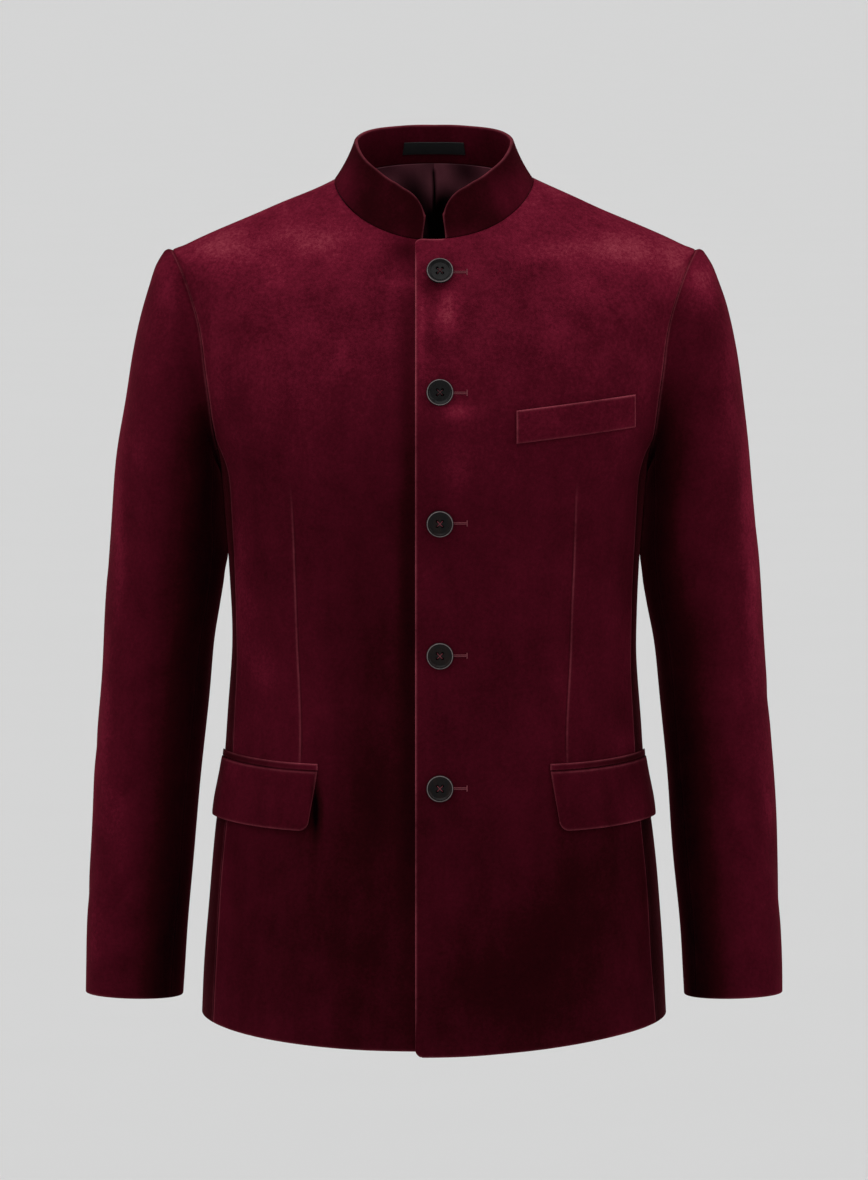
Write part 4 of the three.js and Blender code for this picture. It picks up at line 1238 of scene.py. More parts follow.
def panel_rows(end_angle, step):
    """Each row's level and its outer end's turn: up the side seam, round the armhole, up the shoulder."""
    in_front = end_angle < 180
    seam_top = armhole_level(end_angle)
    seam_levels = mix(HEM, seam_top, stations(seam_top - HEM, step, True, False))[:-1]
    depth = -SEAMS["front"](seam_levels) if in_front else SEAMS["back"](seam_levels)
    seam_turns = turn_at_depth(seam_levels, depth)
    last = 0 if in_front else 360
    around = np.linspace(end_angle, last, round(SPANS["armhole"] / step))
    hole_levels = armhole_level(around)
    hole_turns = turn_at_depth(hole_levels, armhole_depth(around))
    shoulder_levels = mix(SHOULDER, NECK, stations(SPANS["shoulder"], step, False, True))[1:]
    shoulder_turns = np.full(len(shoulder_levels), np.pi / 2)
    levels = np.concatenate([seam_levels, hole_levels, shoulder_levels])
    turns = np.concatenate([seam_turns, hole_turns, shoulder_turns])
    return levels, turns


def front_grid(step):
    """A front's points, normals and levels, and its columns' distance from the dart."""
    levels, outer = panel_rows(FRONT_END, step)
    edge = turn_at_x(levels, -LAP)
    ease = turn_at_x(levels, LAP_EASE)
    dart = np.minimum(turn_at_x(levels, DART["out"](levels)), mix(ease, outer, DART_LIMIT))
    towards = stations(SPANS["edge_to_dart"], step)
    beyond = stations(SPANS["dart_to_side"], step)[1:]
    turns = np.concatenate(
        [
            mix(edge[:, None], dart[:, None], towards[None]),
            mix(dart[:, None], outer[:, None], beyond[None]),
        ],
        axis=1,
    )
    grid_levels = np.broadcast_to(levels[:, None], turns.shape)
    points = body_point(grid_levels, turns)
    normals = body_normal(grid_levels, turns)
    from_first = edge_distances(points)["first"]
    return points, normals, grid_levels, from_first - from_first[:, [len(towards) - 1]]


def under_arm(points):
    """1 on the panels' outer part round and below the armhole, 0 near the middle and further down.

    The panels have no slow swell there, so that the sleeves meet them.
    """
    return smooth(points[..., 2], *STILL["z"]) * smooth(points[..., 0], *STILL["x"])


def lap_lift(x):
    """How far the upper front stands off the body, to lie on the lower one."""
    return LAP_LIFT * (1 - smooth(x, LAP_LEVEL, LAP_EASE))


def shape_front_edge(points, levels):
    """Lets the upper front's hem down towards the middle and rounds its two free corners."""
    points = points.copy()
    low = 1 - smooth(levels, HEM, HEM + HEM_DROP_FADE)
    points[..., 2] -= HEM_DROP * low * (1 - smooth(points[..., 0], -LAP, HEM_DROP_END))
    away = edge_distances(points)
    cut = rounding(away["first"], CORNER["radius"])
    points[..., 2] += cut * (1 - smooth(away["bottom"], 0, CORNER["bottom_fade"]))
    points[..., 2] -= cut * (1 - smooth(away["top"], 0, CORNER["top_fade"])) * CORNER["top_share"]
    return points


def front_surface(side, step):
    """One front's outer face with its normals, levels and dart distances, as if on the left."""
    points, normals, levels, from_dart = front_grid(step)
    if side == LEFT:
        points = points + normals * lap_lift(points[..., 0])[..., None]
        points = shape_front_edge(points, levels)
    return points, normals, levels, from_dart


def back_surface(step):
    """A back's outer face with its normals, as if on the left."""
    levels, outer = panel_rows(BACK_END, step)
    shares = stations(SPANS["back"], step)
    turns = mix(np.pi, outer[:, None], shares[None])
    grid_levels = np.broadcast_to(levels[:, None], turns.shape)
    return body_point(grid_levels, turns), body_normal(grid_levels, turns)


def side_surface(step):
    """A side panel's outer face: its columns run from the front seam to the back seam."""
    shares = stations(SPANS["side_panel"], step)[None]
    angles = mix(FRONT_END, BACK_END, shares)
    seam_top = armhole_level(FRONT_END)
    up = stations(seam_top - HEM, step)[:, None]

    def between(level):
        """The panel's depth at each column: a straight run from its front seam to its back seam."""
        return mix(-SEAMS["front"](level), SEAMS["back"](level), shares)

    off_line = armhole_depth(angles) - between(seam_top)
    levels = mix(HEM, armhole_level(angles), up)
    depth = between(mix(HEM, seam_top, up)) + off_line * up
    turns = turn_at_depth(levels, depth)
    return body_point(levels, turns), body_normal(levels, turns)


class JACKET_OT_fronts(bpy.types.Operator):
    """Builds the two fronts: the upper one laps over the other and hangs a little lower."""

    bl_idname = "jacket.fronts"
    bl_label = "Fronts"

    def execute(self, context):
        for side, name in SIDE_NAMES.items():
            points, normals, levels, from_dart = front_surface(side, mm("step"))
            sewn = np.clip(DART["pinch"](levels) / DART_SEWN, 0, 1)
            line = DART_LINE["depth"] * bell(from_dart, DART_LINE["width"])
            dip = DART_DIP["depth"] * np.exp(-np.abs(from_dart) / DART_DIP["fade"])
            # Where the painted highlight beside the dart lies.
            beside = bell(from_dart - DART_HIGHLIGHT["away"], DART_HIGHLIGHT["width"])
            collar_end = COLLAR_ENDS[side]
            open_neck = 1 - smooth(points[..., 0], collar_end - COLLAR_END_FADE, collar_end)
            looks = {
                "wall": BODY_WALL,
                "seams": {"last": (0.5, 0.5), "top": (0.5 * (1 - open_neck), 0)},
                "free": {"first": (1, 1), "bottom": (1, 0.7), "top": (open_neck, open_neck)},
                "pale": DART_HIGHLIGHT["strength"] * sewn * beside,
                "facings": ("first", "bottom"),
                "groove": sewn * (line + dip),
                "creases": BODY_CREASES[side],
                "tone": body_tone(points, normals),
                "patches": TONES[side],
                "shape": -DART["pinch"](levels) * bell(from_dart, DART_PINCH_WIDTH),
                "slack": smooth(points[..., 0], LAP, LAP_EASE) * (1 - under_arm(points)),
                "lined": True,
            }
            piece = cloth_piece("velvet_front_" + name, points, normals, side, looks)
            dress(piece, ["front_" + name])
        return {"FINISHED"}


class JACKET_OT_backs(bpy.types.Operator):
    """Builds the two backs, sewn down the middle."""

    bl_idname = "jacket.backs"
    bl_label = "Backs"

    def execute(self, context):
        for side, name in SIDE_NAMES.items():
            points, normals = back_surface(mm("step"))
            looks = {
                "wall": BODY_WALL,
                "seams": {"first": (0.8, 0.2), "last": (0.5, 0.4), "top": (0.5, 0)},
                "free": {"bottom": (1, 0.7)},
                "facings": ("bottom",),
                "creases": BODY_CREASES[side],
                "tone": body_tone(points, normals),
                "patches": TONES[side],
                "slack": smooth(points[..., 0], 0, 40) * (1 - under_arm(points)),
                "lined": True,
            }
            piece = cloth_piece("velvet_back_" + name, points, normals, side, looks)
            dress(piece, ["back_" + name])
        return {"FINISHED"}


class JACKET_OT_side_panels(bpy.types.Operator):
    """Builds the side panels, between the fronts and the backs under the arms."""

    bl_idname = "jacket.side_panels"
    bl_label = "Side panels"

    def execute(self, context):
        for side, name in SIDE_NAMES.items():
            points, normals = side_surface(mm("step"))
            looks = {
                "wall": BODY_WALL,
                "seams": {"first": (1, 0.4), "last": (1, 0.3), "top": (1, 0)},
                "free": {"bottom": (1, 0.5)},
                "facings": ("bottom",),
                "creases": BODY_CREASES[side],
                # Painted shadow under the arm.
                "tone": SIDE_PANEL_SHADE[side],
                "slack": 1 - under_arm(points),
                "lined": True,
            }
            piece = cloth_piece("velvet_side_" + name, points, normals, side, looks)
            dress(piece, ["side_panel_" + name])
        return {"FINISHED"}


# ---------------------------------------------------------------- sleeves


def sleeve_surface(from_angle, to_angle, step):
    """Part of a sleeve's outer face between two angles round it, from the armhole to the cuff."""
    girth = (to_angle - from_angle) / 360 * SPANS["sleeve_round"]
    angles = mix(from_angle, to_angle, stations(girth, step))[None]
    places = (stations(SPANS["sleeve"], step) * (len(SLEEVE) - 1))[:, None]
    points = sleeve_point(places, angles)
    points[0] -= SEAM_TUCK * unit(points[1] - points[0])
    return points, sleeve_normal(places, angles), angles


def touching(points, angles):
    """1 where the sleeve lies against the side panel, fading to 0 above, below and round its sides."""
    inner = np.clip(-np.cos(np.radians(angles)), 0, 1) ** 4
    return smooth(points[..., 2], *TOUCH_START) * (1 - smooth(points[..., 2], *TOUCH_END)) * inner


class JACKET_OT_sleeves(bpy.types.Operator):
    """Builds the two-piece sleeves, with a soft ridge where the top one is eased into the armhole."""

    bl_idname = "jacket.sleeves"
    bl_label = "Sleeves"

    def execute(self, context):
        cuts = (
            ("top", HINDARM_SEAM - 360, FOREARM_SEAM, (0.26, 0.66), 0.132),
            ("under", FOREARM_SEAM, HINDARM_SEAM, (0.13, 0.54), 0.0546),
        )
        for side, side_name in SIDE_NAMES.items():
            for part, start, end, flat, area in cuts:
                points, normals, angles = sleeve_surface(start, end, mm("step"))
                from_hole = edge_distances(points)["bottom"]
                head = np.clip(np.cos(np.radians(angles)) + RIDGE["reach"], 0, 1)
                ridge = mm("roping") * head * bell(from_hole - RIDGE["away"], RIDGE["width"])
                against = touching(points, angles)
                touch = SLEEVE_TOUCH + ARMPIT_TOUCH * smooth(points[..., 2], *ARMPIT_START)
                looks = {
                    "wall": SLEEVE_WALL,
                    "seams": {"first": (0.6, 0.1), "last": (0.6, 0.1), "bottom": (0.5, 0.5)},
                    "free": {"top": (1, 0.5)},
                    "facings": ("top",),
                    "shape": ridge + touch * against,
                    "creases": SLEEVE_CREASES[side],
                    "tone": sleeve_tone(points, angles),
                    "patches": SLEEVE_TONES[side],
                    "slack": smooth(from_hole, *SLEEVE_SLACK) * (1 - against),
                    "lined": True,
                }
                name = part + "_" + side_name
                piece = cloth_piece("velvet_sleeve_" + name, points, normals, side, looks)
                dress(piece, ["sleeve_" + name])
        return {"FINISHED"}


# ---------------------------------------------------------------- collar, label and lining


def collar_line(step):
    """The collar's seam line from the left front's end, round the back, to the right front's end."""
    halves = []
    back, _ = back_surface(step)
    for side in (LEFT, RIGHT):
        front = front_surface(side, step)[0][-1]
        front = front[front[:, 0] > COLLAR_ENDS[side]]
        behind = back[-1][::-1]
        halves.append(np.concatenate([front, behind[1:]]) * mirror(side))
    line = np.concatenate([halves[0], halves[1][::-1][1:]])
    lengths = np.linalg.norm(np.diff(line, axis=0), axis=1)
    return np.concatenate([[0], np.cumsum(lengths)]), line


def collar_point(line, along, height):
    """A point of the collar's outer face: up from the seam line and in by its lean, less at the top."""
    lengths, points = line
    base = np.stack([np.interp(along, lengths, points[:, i]) for i in range(3)], axis=-1)
    turn = np.degrees(np.abs(np.arctan2(base[..., 0], -base[..., 1])))
    lean = np.radians(COLLAR_CURVES["lean"](turn))
    inward = unit(base * np.array([-1, -1, 0]))
    from_end = np.minimum(along, lengths[-1] - along)
    tall = COLLAR_CURVES["tall"](turn) - rounding(from_end, COLLAR_CORNER)
    rise = SEAM_GAP + (tall - SEAM_GAP) * height
    bent = lean * (COLLAR_BEND["low"] - COLLAR_BEND["fall"] * rise / tall)
    up = np.stack([0 * rise, 0 * rise, np.cos(bent) * rise], axis=-1)
    return base + up + inward * (np.sin(bent) * rise)[..., None]


def grid_normals(points):
    """A grid's normals from its own rows and columns, facing away from the z axis."""
    normals = unit(np.cross(np.gradient(points, axis=1), np.gradient(points, axis=0)))
    outwards = np.sum(normals[..., :2] * points[..., :2], axis=-1, keepdims=True)
    return np.where(outwards < 0, -normals, normals)


def collar_surface(step):
    """The collar's outer face as a grid, with its normals."""
    line = collar_line(step)
    length = line[0][-1]
    step_along, step_up = (step * share for share in COLLAR_STEPS)
    along = (stations(length, step_along) * length)[None]
    heights = stations(SPANS["collar"], step_up)[:, None]
    along, heights = np.broadcast_arrays(along, heights)
    points = collar_point(line, along, heights)
    return points, grid_normals(points)


class JACKET_OT_collar(bpy.types.Operator):
    """Builds the stand collar with its two rounded front corners."""

    bl_idname = "jacket.collar"
    bl_label = "Collar"

    def execute(self, context):
        points, normals = collar_surface(mm("step"))
        looks = {
            "wall": COLLAR_WALL,
            "seams": {"bottom": (0.4, 0)},
            "free": {"first": (1, 0.8), "last": (1, 0.8), "top": (1, 1)},
            "tone": 0.18,
            "hidden_tone": 0.34,
            "patches": COLLAR_TONES,
            "swell": False,
        }
        piece = cloth_piece("velvet_collar", points, normals, LEFT, looks)
        dress(piece, ["collar"])
        return {"FINISHED"}


class JACKET_OT_label(bpy.types.Operator):
    """Builds the blank woven label inside the back of the collar."""

    bl_idname = "jacket.label"
    bl_label = "Label"

    def execute(self, context):
        lengths, seam = collar_line(mm("step"))
        behind_neck = seam[:, 1] > 0
        middle = np.interp(0, -seam[behind_neck][:, 0], lengths[behind_neck])
        tall = COLLAR_CURVES["tall"](180)
        columns, rows = LABEL_GRID
        across = np.linspace(-0.5, 0.5, columns)[None] * LABEL["width"] + middle
        up = np.linspace(LABEL["low"], LABEL["high"], rows)[:, None] / tall
        across, up = np.broadcast_arrays(across, up)
        points = collar_point((lengths, seam), across, up)
        normals = grid_normals(points)
        behind = COLLAR_WALL + SEAM_GAP
        waves = np.cos(np.linspace(0, LABEL_RIBS["count"] * 2 * np.pi, columns))[None]
        near_face = points - normals * behind
        ribbed = behind + LABEL["thick"] + LABEL_RIBS["height"] * waves
        far_face = points - normals * ribbed[..., None]
        verts, faces, _ = wall_between(near_face, far_face)
        piece = mesh_object("woven_label", verts, faces, [material("black_woven_label")])
        dress(piece, ["label"])
        return {"FINISHED"}


class JACKET_OT_lining(bpy.types.Operator):
    """Builds the lining that shows inside the back of the neck, pleated at the middle."""

    bl_idname = "jacket.lining"
    bl_label = "Neck lining"

    def execute(self, context):
        levels = mix(SHOULDER - LINING_DROP, NECK, stations(LINING_SPAN, LINING_STEP))
        near_middle, beyond = (np.linspace(*columns) for columns in LINING_COLUMNS)
        turns = mix(np.pi, np.pi / 2, np.concatenate([near_middle[:-1], beyond]))[None]
        grid_levels, turns = np.broadcast_arrays(levels[:, None], turns)
        points = body_point(grid_levels, turns)
        normals = body_normal(grid_levels, turns)
        x = points[..., 0]
        z = points[..., 2]
        hang = smooth(-z, *LINING_HANG)
        pleat = mm("pleat") * bell(x, PLEAT_WIDTH) * hang
        for side, name in SIDE_NAMES.items():
            waves = np.sin((x + FOLD_LEAN[side] * z) / FOLDS["across"] + side)
            crest = waves * np.sin(z / FOLDS["down"] + side * FOLDS["shift"])
            fold = FOLDS["height"] * (crest + 1) * hang * smooth(x, *FOLDS["start"])
            depth = BODY_WALL + LINING_GAP + pleat + fold
            outer = (points - normals * depth[..., None]) * mirror(side)
            inner = (points - normals * (depth + LINING_WALL)[..., None]) * mirror(side)
            verts, faces, _ = wall_between(outer, inner)
            low_down = LINING_SHADE["low"] * smooth(-z, *LINING_SHADE_LOW)
            in_pleat = LINING_SHADE["pleat"] * bell(x, PLEAT_SHADE_WIDTH) * smooth(-z, *PLEAT_SHADE_START)
            shade = np.maximum(low_down, in_pleat) + LINING_SHADE["all"] - LINING_SHADE["crest"] * crest
            shade = np.clip(shade, 0, 1)
            shades = {"shade": np.concatenate([shade.ravel(), shade.ravel()])}
            satin = [material("wine_satin_lining")]
            piece = mesh_object("satin_lining_" + name, verts, faces, satin, None, shades)
            dress(piece, ["neck_lining_" + name])
        return {"FINISHED"}


# ---------------------------------------------------------------- pockets


class JACKET_OT_welt(bpy.types.Operator):
    """Builds the slanted breast welt on the wearer's left."""

    bl_idname = "jacket.welt"
    bl_label = "Breast welt"

    def execute(self, context):
        step_along, step_up = WELT_STEPS
        across = stations(WELT["x1"] - WELT["x0"], step_along)[None]
        up = stations(WELT["tall"], step_up)[:, None]
        x = mix(WELT["x0"], WELT["x1"], across)
        z = mix(WELT["z0"], WELT["z1"], across) - WELT["tall"] * (1 - up)
        x, z = np.broadcast_arrays(x, z)
        points, normals = front_spot(x, z)
        points = points + normals * (SEAM_GAP + WELT["thick"])
        looks = {
            "wall": WELT["thick"],
            "free": {"first": (1, 0.8), "last": (1, 1), "bottom": (1, 0.5), "top": (1, 1)},
            "tone": body_tone(points, normals) + 0.02,
            "patches": TONES[LEFT],
            "swell": False,
        }
        piece = cloth_piece("velvet_welt", points, normals, LEFT, looks)
        dress(piece, ["breast_welt"])
        return {"FINISHED"}


def pocket_line(share):
    """The section that the pocket's line crosses, from its front end at 0 to its back end at 1."""
    return mix(FLAP["front_top"], FLAP["back_top"], share)


def flap_surface():
    """A flap's outer face: it hangs from the pocket's line, its front edge slants and its corners round.

    Its lower edge is cut by a circle at each corner, and it stands off the body more towards the hem.
    """
    step_along, step_down = POCKET_STEPS
    across = stations(FLAP_WIDTH, step_along)[None]
    down = stations(FLAP["tall"], step_down)[:, None]
    from_end = np.minimum(across, 1 - across) * FLAP_WIDTH
    cut = rounding(from_end, FLAP_EDGE["corner"])
    level = pocket_line(across) - (FLAP["tall"] - cut) * down
    front = turn_at_x(level, FLAP["x"] + FLAP["slant"] * down)
    turn = mix(front, turn_at_depth(level, FLAP["back_y"]), across)
    points = body_point(level, turn)
    normals = body_normal(level, turn)
    lift = SEAM_GAP + FLAP_EDGE["stand"] * smooth(down, 0, 1)
    return points + normals * (lift + FLAP_EDGE["thick"])[..., None], normals


class JACKET_OT_flaps(bpy.types.Operator):
    """Builds the two pocket flaps."""

    bl_idname = "jacket.flaps"
    bl_label = "Pocket flaps"

    def execute(self, context):
        points, normals = flap_surface()
        for side, name in SIDE_NAMES.items():
            looks = {
                "wall": FLAP_EDGE["thick"],
                "seams": {"bottom": (1.5, 0.4)},
                "free": {"first": (1, 0.5), "last": (1, 0.4), "top": (1, 0.7)},
                "tone": 0.32,
                "patches": TONES[side],
                "swell": False,
                }
            piece = cloth_piece("velvet_flap_" + name, points, normals, side, looks)
            dress(piece, ["pocket_flap_" + name])
        return {"FINISHED"}


class JACKET_OT_jets(bpy.types.Operator):
    """Builds the narrow piped strip above each flap."""

    bl_idname = "jacket.jets"
    bl_label = "Pocket jets"

    def execute(self, context):
        across = stations(FLAP_WIDTH, POCKET_STEPS[0])[None]
        up = stations(JET["tall"] * JET_STRETCH, JET_STEP)[:, None]
        level = pocket_line(across) + SEAM_GAP + JET["tall"] * up
        back = turn_at_depth(level, FLAP["back_y"])
        turn = mix(turn_at_x(level, FLAP["x"]), back, across)
        level, turn = np.broadcast_arrays(level, turn)
        normals = body_normal(level, turn)
        points = body_point(level, turn) + normals * (SEAM_GAP + JET["thick"])
        for side, name in SIDE_NAMES.items():
            looks = {
                "wall": JET["thick"],
                "free": {"first": (1, 0.5), "last": (1, 0), "bottom": (1, 0.1), "top": (1, 0.9)},
                # The jet is painted darker towards its back end: painted shadow along the pocket's opening.
                "tone": mix(0.36, 0.1, across) + 0 * up,
                "swell": False,
                }
            piece = cloth_piece("velvet_jet_" + name, points, normals, side, looks)
            dress(piece, ["pocket_jet_" + name])
        return {"FINISHED"}


# ---------------------------------------------------------------- buttons and buttonholes

# A button's face: its height over the shank at shares of the radius.
BUTTON_PROFILE = Curve(
    [0, 0.4, 0.66, 0.76, 0.84, 0.91, 0.97, 1.0],
    [2.1, 2.15, 2.25, 2.75, 3.3, 3.4, 3.0, 1.9],
)
BUTTON_CELLS = 92  # across a button's face
# Where the painted highlight on a button's rim lies and how wide it is.
RIM_HIGHLIGHT = {"reach": 0.93, "width": 0.022}
BUTTON_BACK = {"share": 0.985, "rise": 1.1, "flat": 0.55}
BUTTON_HOLE = 1.15
HOLE_SPACING = 4.6
HOLE_DEPTH = 2.0
HOLE_SLOPE = (-0.25, 0.12)  # the hole's wall runs from this far inside its edge to this far outside
STITCH = {"points": 15, "sides": 8, "radius": 0.36, "arch": 1.7, "sunk": 1.25, "over": 0.3}
THREAD_SHANK = {"points": 12, "sides": 20, "low": -0.3, "tall": 2.2, "radius": 2.5, "waist": 0.6}
LOOP = {"points": 70, "half": 0.6, "sides": 8}
BAR_TACK = {"points": 16, "half": 2.6, "thicker": 1.15}
THREAD_STAND = 0.25  # how far a stitched edge's middle stands off the cloth, as a share of its radius


def disc_grid(count):
    """A square grid laid on a disc of radius 1 with even cells: the angle is 45 degrees times b / a."""
    a, b = np.meshgrid(np.linspace(-1, 1, count), np.linspace(-1, 1, count))
    a = np.where(np.abs(a) < 1e-9, 1e-9, a)
    b = np.where(np.abs(b) < 1e-9, 1e-9, b)
    wide = np.abs(a) > np.abs(b)
    reach = np.where(wide, a, b)
    angle = np.where(wide, np.pi / 4 * b / a, np.pi / 2 - np.pi / 4 * a / b)
    return np.stack([reach * np.cos(angle), reach * np.sin(angle)], axis=-1)


def button_frame(z):
    """A button's foot on the upper front, and the directions across it, out of it and up it."""
    point, out = front_spot(np.array(float(BUTTON_X)), np.array(float(z)))
    foot = point + out * (LAP_LIFT + SEAM_GAP)
    across = unit(np.cross(out, np.array([0, 0, -1.0])))
    return foot, across, out, np.cross(across, out) * -1


def stood(local, button_axes):
    """Points given as across, out and up from a button's foot, in the jacket's frame."""
    foot, across, out, up = button_axes
    return foot + local[..., :1] * across + local[..., 1:2] * out + local[..., 2:] * up


def button_faces(radius):
    """A button's front and back: a raised rim, a dished middle and four pits for the thread."""
    disc = disc_grid(BUTTON_CELLS)
    reach = np.linalg.norm(disc, axis=-1)
    across = disc[..., 0] * radius
    up = disc[..., 1] * radius
    low, high = (BUTTON_HOLE + slope for slope in HOLE_SLOPE)
    height = BUTTON_PROFILE(reach)
    for i in (-0.5, 0.5):
        for j in (-0.5, 0.5):
            spot = np.hypot(across - i * HOLE_SPACING, up - j * HOLE_SPACING)
            height = height - HOLE_DEPTH * (1 - smooth(spot, low, high))
    front = np.stack([across, SHANK_TALL + height, up], axis=-1)
    under = SHANK_TALL + BUTTON_BACK["rise"] * smooth(reach, BUTTON_BACK["flat"], 1.0)
    back = np.stack([across * BUTTON_BACK["share"], under, up * BUTTON_BACK["share"]], axis=-1)
    return front, back


def rim_highlight():
    """The rim's painted highlight: how near each front point is to the rim's top, exp(-q^2), q in rim
    widths.
    """
    reach = np.linalg.norm(disc_grid(BUTTON_CELLS), axis=-1)
    return bell(reach - RIM_HIGHLIGHT["reach"], RIM_HIGHLIGHT["width"])


def stitch(start, end, top):
    """One thread over the button between two holes: an arch on a straight line, sunk at both ends."""
    t = np.linspace(0, 1, STITCH["points"])[:, None]
    path = mix(np.array([start]), np.array([end]), t)
    arch = (1 - (2 * t - 1) ** 4) * STITCH["arch"]
    path = np.concatenate([path[:, :1], top - STITCH["sunk"] + arch, path[:, 1:]], axis=1)
    return tube(path, np.array([0, 1.0, 0]), STITCH["radius"], STITCH["sides"])


def thread_shank():
    """The thread under a button: a short round neck, narrower by half a sine wave at its middle."""
    t = np.linspace(0, 1, THREAD_SHANK["points"])
    neck = np.stack([0 * t, THREAD_SHANK["low"] + THREAD_SHANK["tall"] * t, 0 * t], axis=1)
    radius = THREAD_SHANK["radius"] - THREAD_SHANK["waist"] * np.sin(np.pi * t)
    return tube(neck, np.array([0, 0, 1.0]), radius, THREAD_SHANK["sides"])


class JACKET_OT_buttons(bpy.types.Operator):
    """Builds the five four-hole buttons and the thread that holds each."""

    bl_idname = "jacket.buttons"
    bl_label = "Buttons"

    def execute(self, context):
        half = HOLE_SPACING / 2
        face = SHANK_TALL + BUTTON_PROFILE.heights[0]
        front, back = button_faces(mm("button"))
        rim = rim_highlight().ravel()
        for i, z in enumerate(BUTTON_HEIGHTS):
            axes = button_frame(z)
            upper = i < 2
            verts, faces, _ = wall_between(stood(front, axes), stood(back, axes))
            horn = material("charcoal_horn" if upper else "brown_horn")
            # The painted highlight on the front's rim, none on the back.
            highlit = {"edge": np.concatenate([rim, 0 * rim])}
            piece = mesh_object(f"horn_button_{i + 1}", verts, faces, [horn], None, highlit)
            dress(piece, [f"button_{i + 1}"])
            parts = [
                stitch((-half, -half), (half, half), face),
                stitch((-half, half), (half, -half), face + STITCH["over"]),
                thread_shank(),
            ]
            verts, faces = joined(parts)
            thread = material("dark_thread" if upper else "buttonhole_thread")
            tie = mesh_object(f"button_thread_{i + 1}", stood(verts, axes), faces, [thread])
            dress(tie)
        return {"FINISHED"}


class JACKET_OT_buttonholes(bpy.types.Operator):
    """Builds the stitched buttonholes, each a long loop with a bar tack at its end."""

    bl_idname = "jacket.buttonholes"
    bl_label = "Buttonholes"

    def execute(self, context):
        radius = mm("thread")
        along = np.linspace(BUTTON_X, BUTTONHOLE_END, LOOP["points"])
        lower = np.stack([along, np.full(LOOP["points"], -LOOP["half"])], axis=1)
        loop = np.concatenate([lower, lower[::-1] * np.array([1, -1])])
        up = np.linspace(-BAR_TACK["half"], BAR_TACK["half"], BAR_TACK["points"])
        bar = np.stack([np.full(BAR_TACK["points"], BUTTONHOLE_END), up], axis=1)
        for i, z in enumerate(BUTTON_HEIGHTS):
            parts = []
            for path, thick, closed in ((loop, radius, True), (bar, radius * BAR_TACK["thicker"], False)):
                points, normals = front_spot(path[:, 0], path[:, 1] + z)
                lift = lap_lift(path[:, 0]) + radius * THREAD_STAND
                parts.append(tube(points + normals * lift[:, None], normals, thick, LOOP["sides"], closed))
            verts, faces = joined(parts)
            piece = mesh_object(f"buttonhole_{i + 1}", verts, faces, [material("buttonhole_thread")])
            dress(piece)
        return {"FINISHED"}


# ---------------------------------------------------------------- stage

TARGET = (0.0, 0.0, -0.3547)
CAMERA_DISTANCE = 8.0
CAMERA_ELEVATION = math.radians(4.5)
LENS = 282.35
SENSOR = 36.0
CLIP_END = 2000.0
FLOOR_Z = -1.45
FLOOR_HALF = 400.0
# Soft lamps, each far off: the way it shines, how wide it is and how strong.
LAMPS = (
    ("top_lamp", (0.12, 0.35, -1.0), 60, 1.25),
    ("left_lamp", (1.0, 0.15, -0.45), 50, 0.8),
    ("right_lamp", (-1.0, 0.15, -0.45), 50, 0.8),
    ("front_lamp", (0.2, 1.0, -0.6), 70, 0.3),
    ("edge_lamp", (-0.55, 0.5, -0.7), 8, 0.12),
)


def aim(thing, direction):
    """Turns a lamp or camera, which look along their own -Z, along a direction."""
    thing.rotation_mode = "QUATERNION"
    thing.rotation_quaternion = direction.to_track_quat("-Z", "Y")


def vector(values):
    """A Blender vector."""
    return type(CAD_BOX[0])(values)


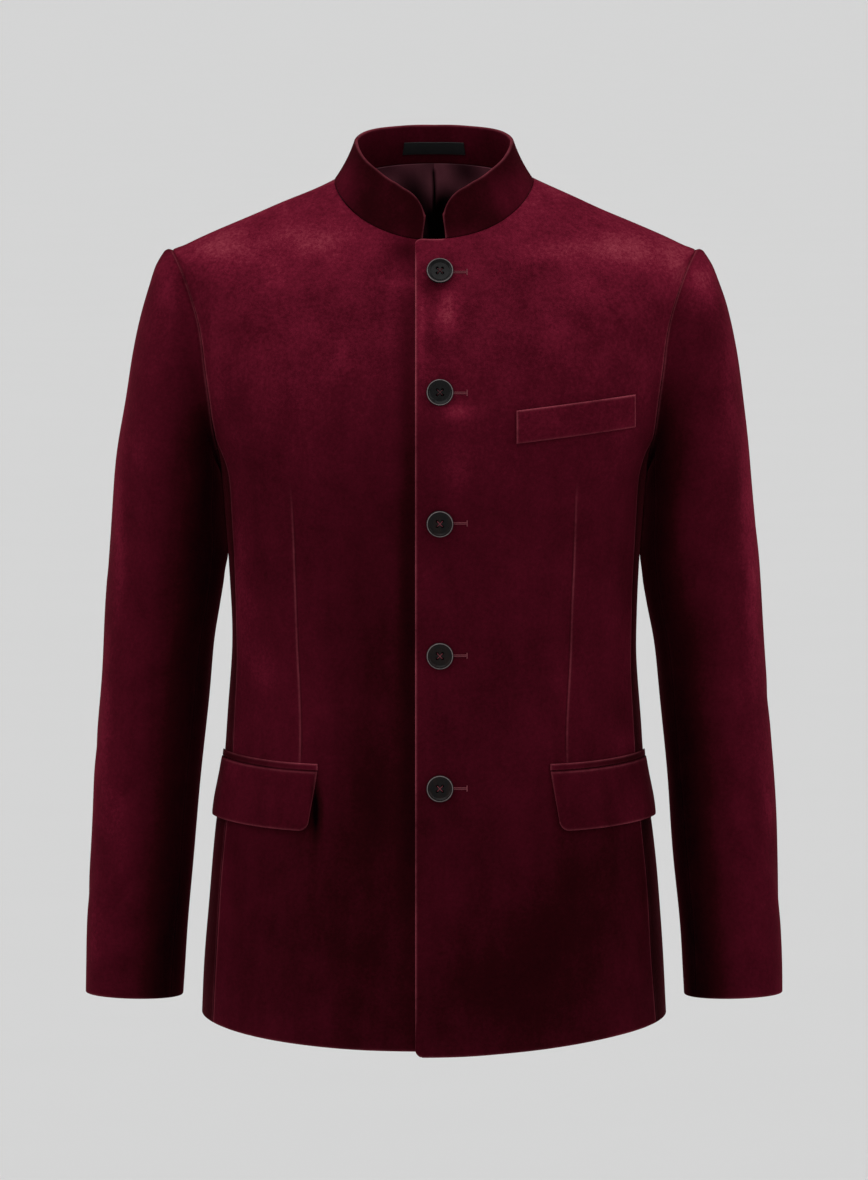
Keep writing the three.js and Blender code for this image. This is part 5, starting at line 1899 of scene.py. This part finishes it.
class JACKET_OT_stage(bpy.types.Operator):
    """Builds the floor, the lamps, the light all round and the camera."""

    bl_idname = "jacket.stage"
    bl_label = "Stage"

    def execute(self, context):
        colours = context.scene.jacket_colours
        side = FLOOR_HALF / METRES
        corners = np.array([(-side, -side), (side, -side), (side, side), (-side, side)])
        points = np.concatenate([corners, np.full((4, 1), FLOOR_Z / METRES)], axis=1)
        nodes = Nodes("pale_floor")
        speck = nodes.noise(3, 2)
        paint = rgba(colours.floor)
        darker = rgba([c * 0.985 for c in colours.floor])
        nodes.finish(
            Base_Color=nodes.blend(paint, darker, speck), Roughness=0.95, Specular_IOR_Level=0.0
        )
        floor = mesh_object("floor", points, np.array([[0, 1, 2, 3]]), [nodes.material])
        world = bpy.data.worlds.new("soft_surround")
        world.use_nodes = True
        background = world.node_tree.nodes["Background"]
        background.inputs["Color"].default_value = rgba(colours.surround)
        background.inputs["Strength"].default_value = 1.0
        context.scene.world = world
        for name, direction, width, power in LAMPS:
            data = bpy.data.lights.new(name, "SUN")
            data.angle = math.radians(width)
            data.energy = power
            lamp = bpy.data.objects.new(name, data)
            context.scene.collection.objects.link(lamp)
            aim(lamp, vector(direction))
        data = bpy.data.cameras.new("camera")
        data.lens = LENS
        data.sensor_width = SENSOR
        data.clip_end = CLIP_END
        context.scene.view_settings.view_transform = "Standard"
        camera = bpy.data.objects.new("camera", data)
        context.scene.collection.objects.link(camera)
        back = vector((0, -math.cos(CAMERA_ELEVATION), math.sin(CAMERA_ELEVATION)))
        camera.location = vector(TARGET) + back * CAMERA_DISTANCE
        aim(camera, -back)
        context.scene.camera = camera
        return {"FINISHED"}


# ---------------------------------------------------------------- the add-on

OPERATORS = (
    JACKET_OT_fronts,
    JACKET_OT_backs,
    JACKET_OT_side_panels,
    JACKET_OT_sleeves,
    JACKET_OT_collar,
    JACKET_OT_label,
    JACKET_OT_lining,
    JACKET_OT_welt,
    JACKET_OT_flaps,
    JACKET_OT_jets,
    JACKET_OT_buttons,
    JACKET_OT_buttonholes,
    JACKET_OT_stage,
)


class JACKET_PT_panel(bpy.types.Panel):
    """Lists the jacket's pieces in the order in which they are built."""

    bl_label = "Nehru Jacket"
    bl_idname = "JACKET_PT_panel"
    bl_space_type = "VIEW_3D"
    bl_region_type = "UI"
    bl_category = "Jacket"

    def draw(self, context):
        for operator in OPERATORS:
            self.layout.operator(operator.bl_idname)


CLASSES = (JacketSizes, JacketColours, *OPERATORS, JACKET_PT_panel)


def register():
    """Makes the properties, operators and panel known to Blender."""
    for cls in CLASSES:
        bpy.utils.register_class(cls)
    bpy.types.Scene.jacket_sizes = bpy.props.PointerProperty(type=JacketSizes)
    bpy.types.Scene.jacket_colours = bpy.props.PointerProperty(type=JacketColours)


def unregister():
    """Takes them away again."""
    del bpy.types.Scene.jacket_colours
    del bpy.types.Scene.jacket_sizes
    for cls in reversed(CLASSES):
        bpy.utils.unregister_class(cls)


def main():
    """Registers the add-on and builds every piece in order."""
    register()
    for operator in OPERATORS:
        group, name = operator.bl_idname.split(".")
        getattr(getattr(bpy.ops, group), name)()


if __name__ == "__main__":
    main()
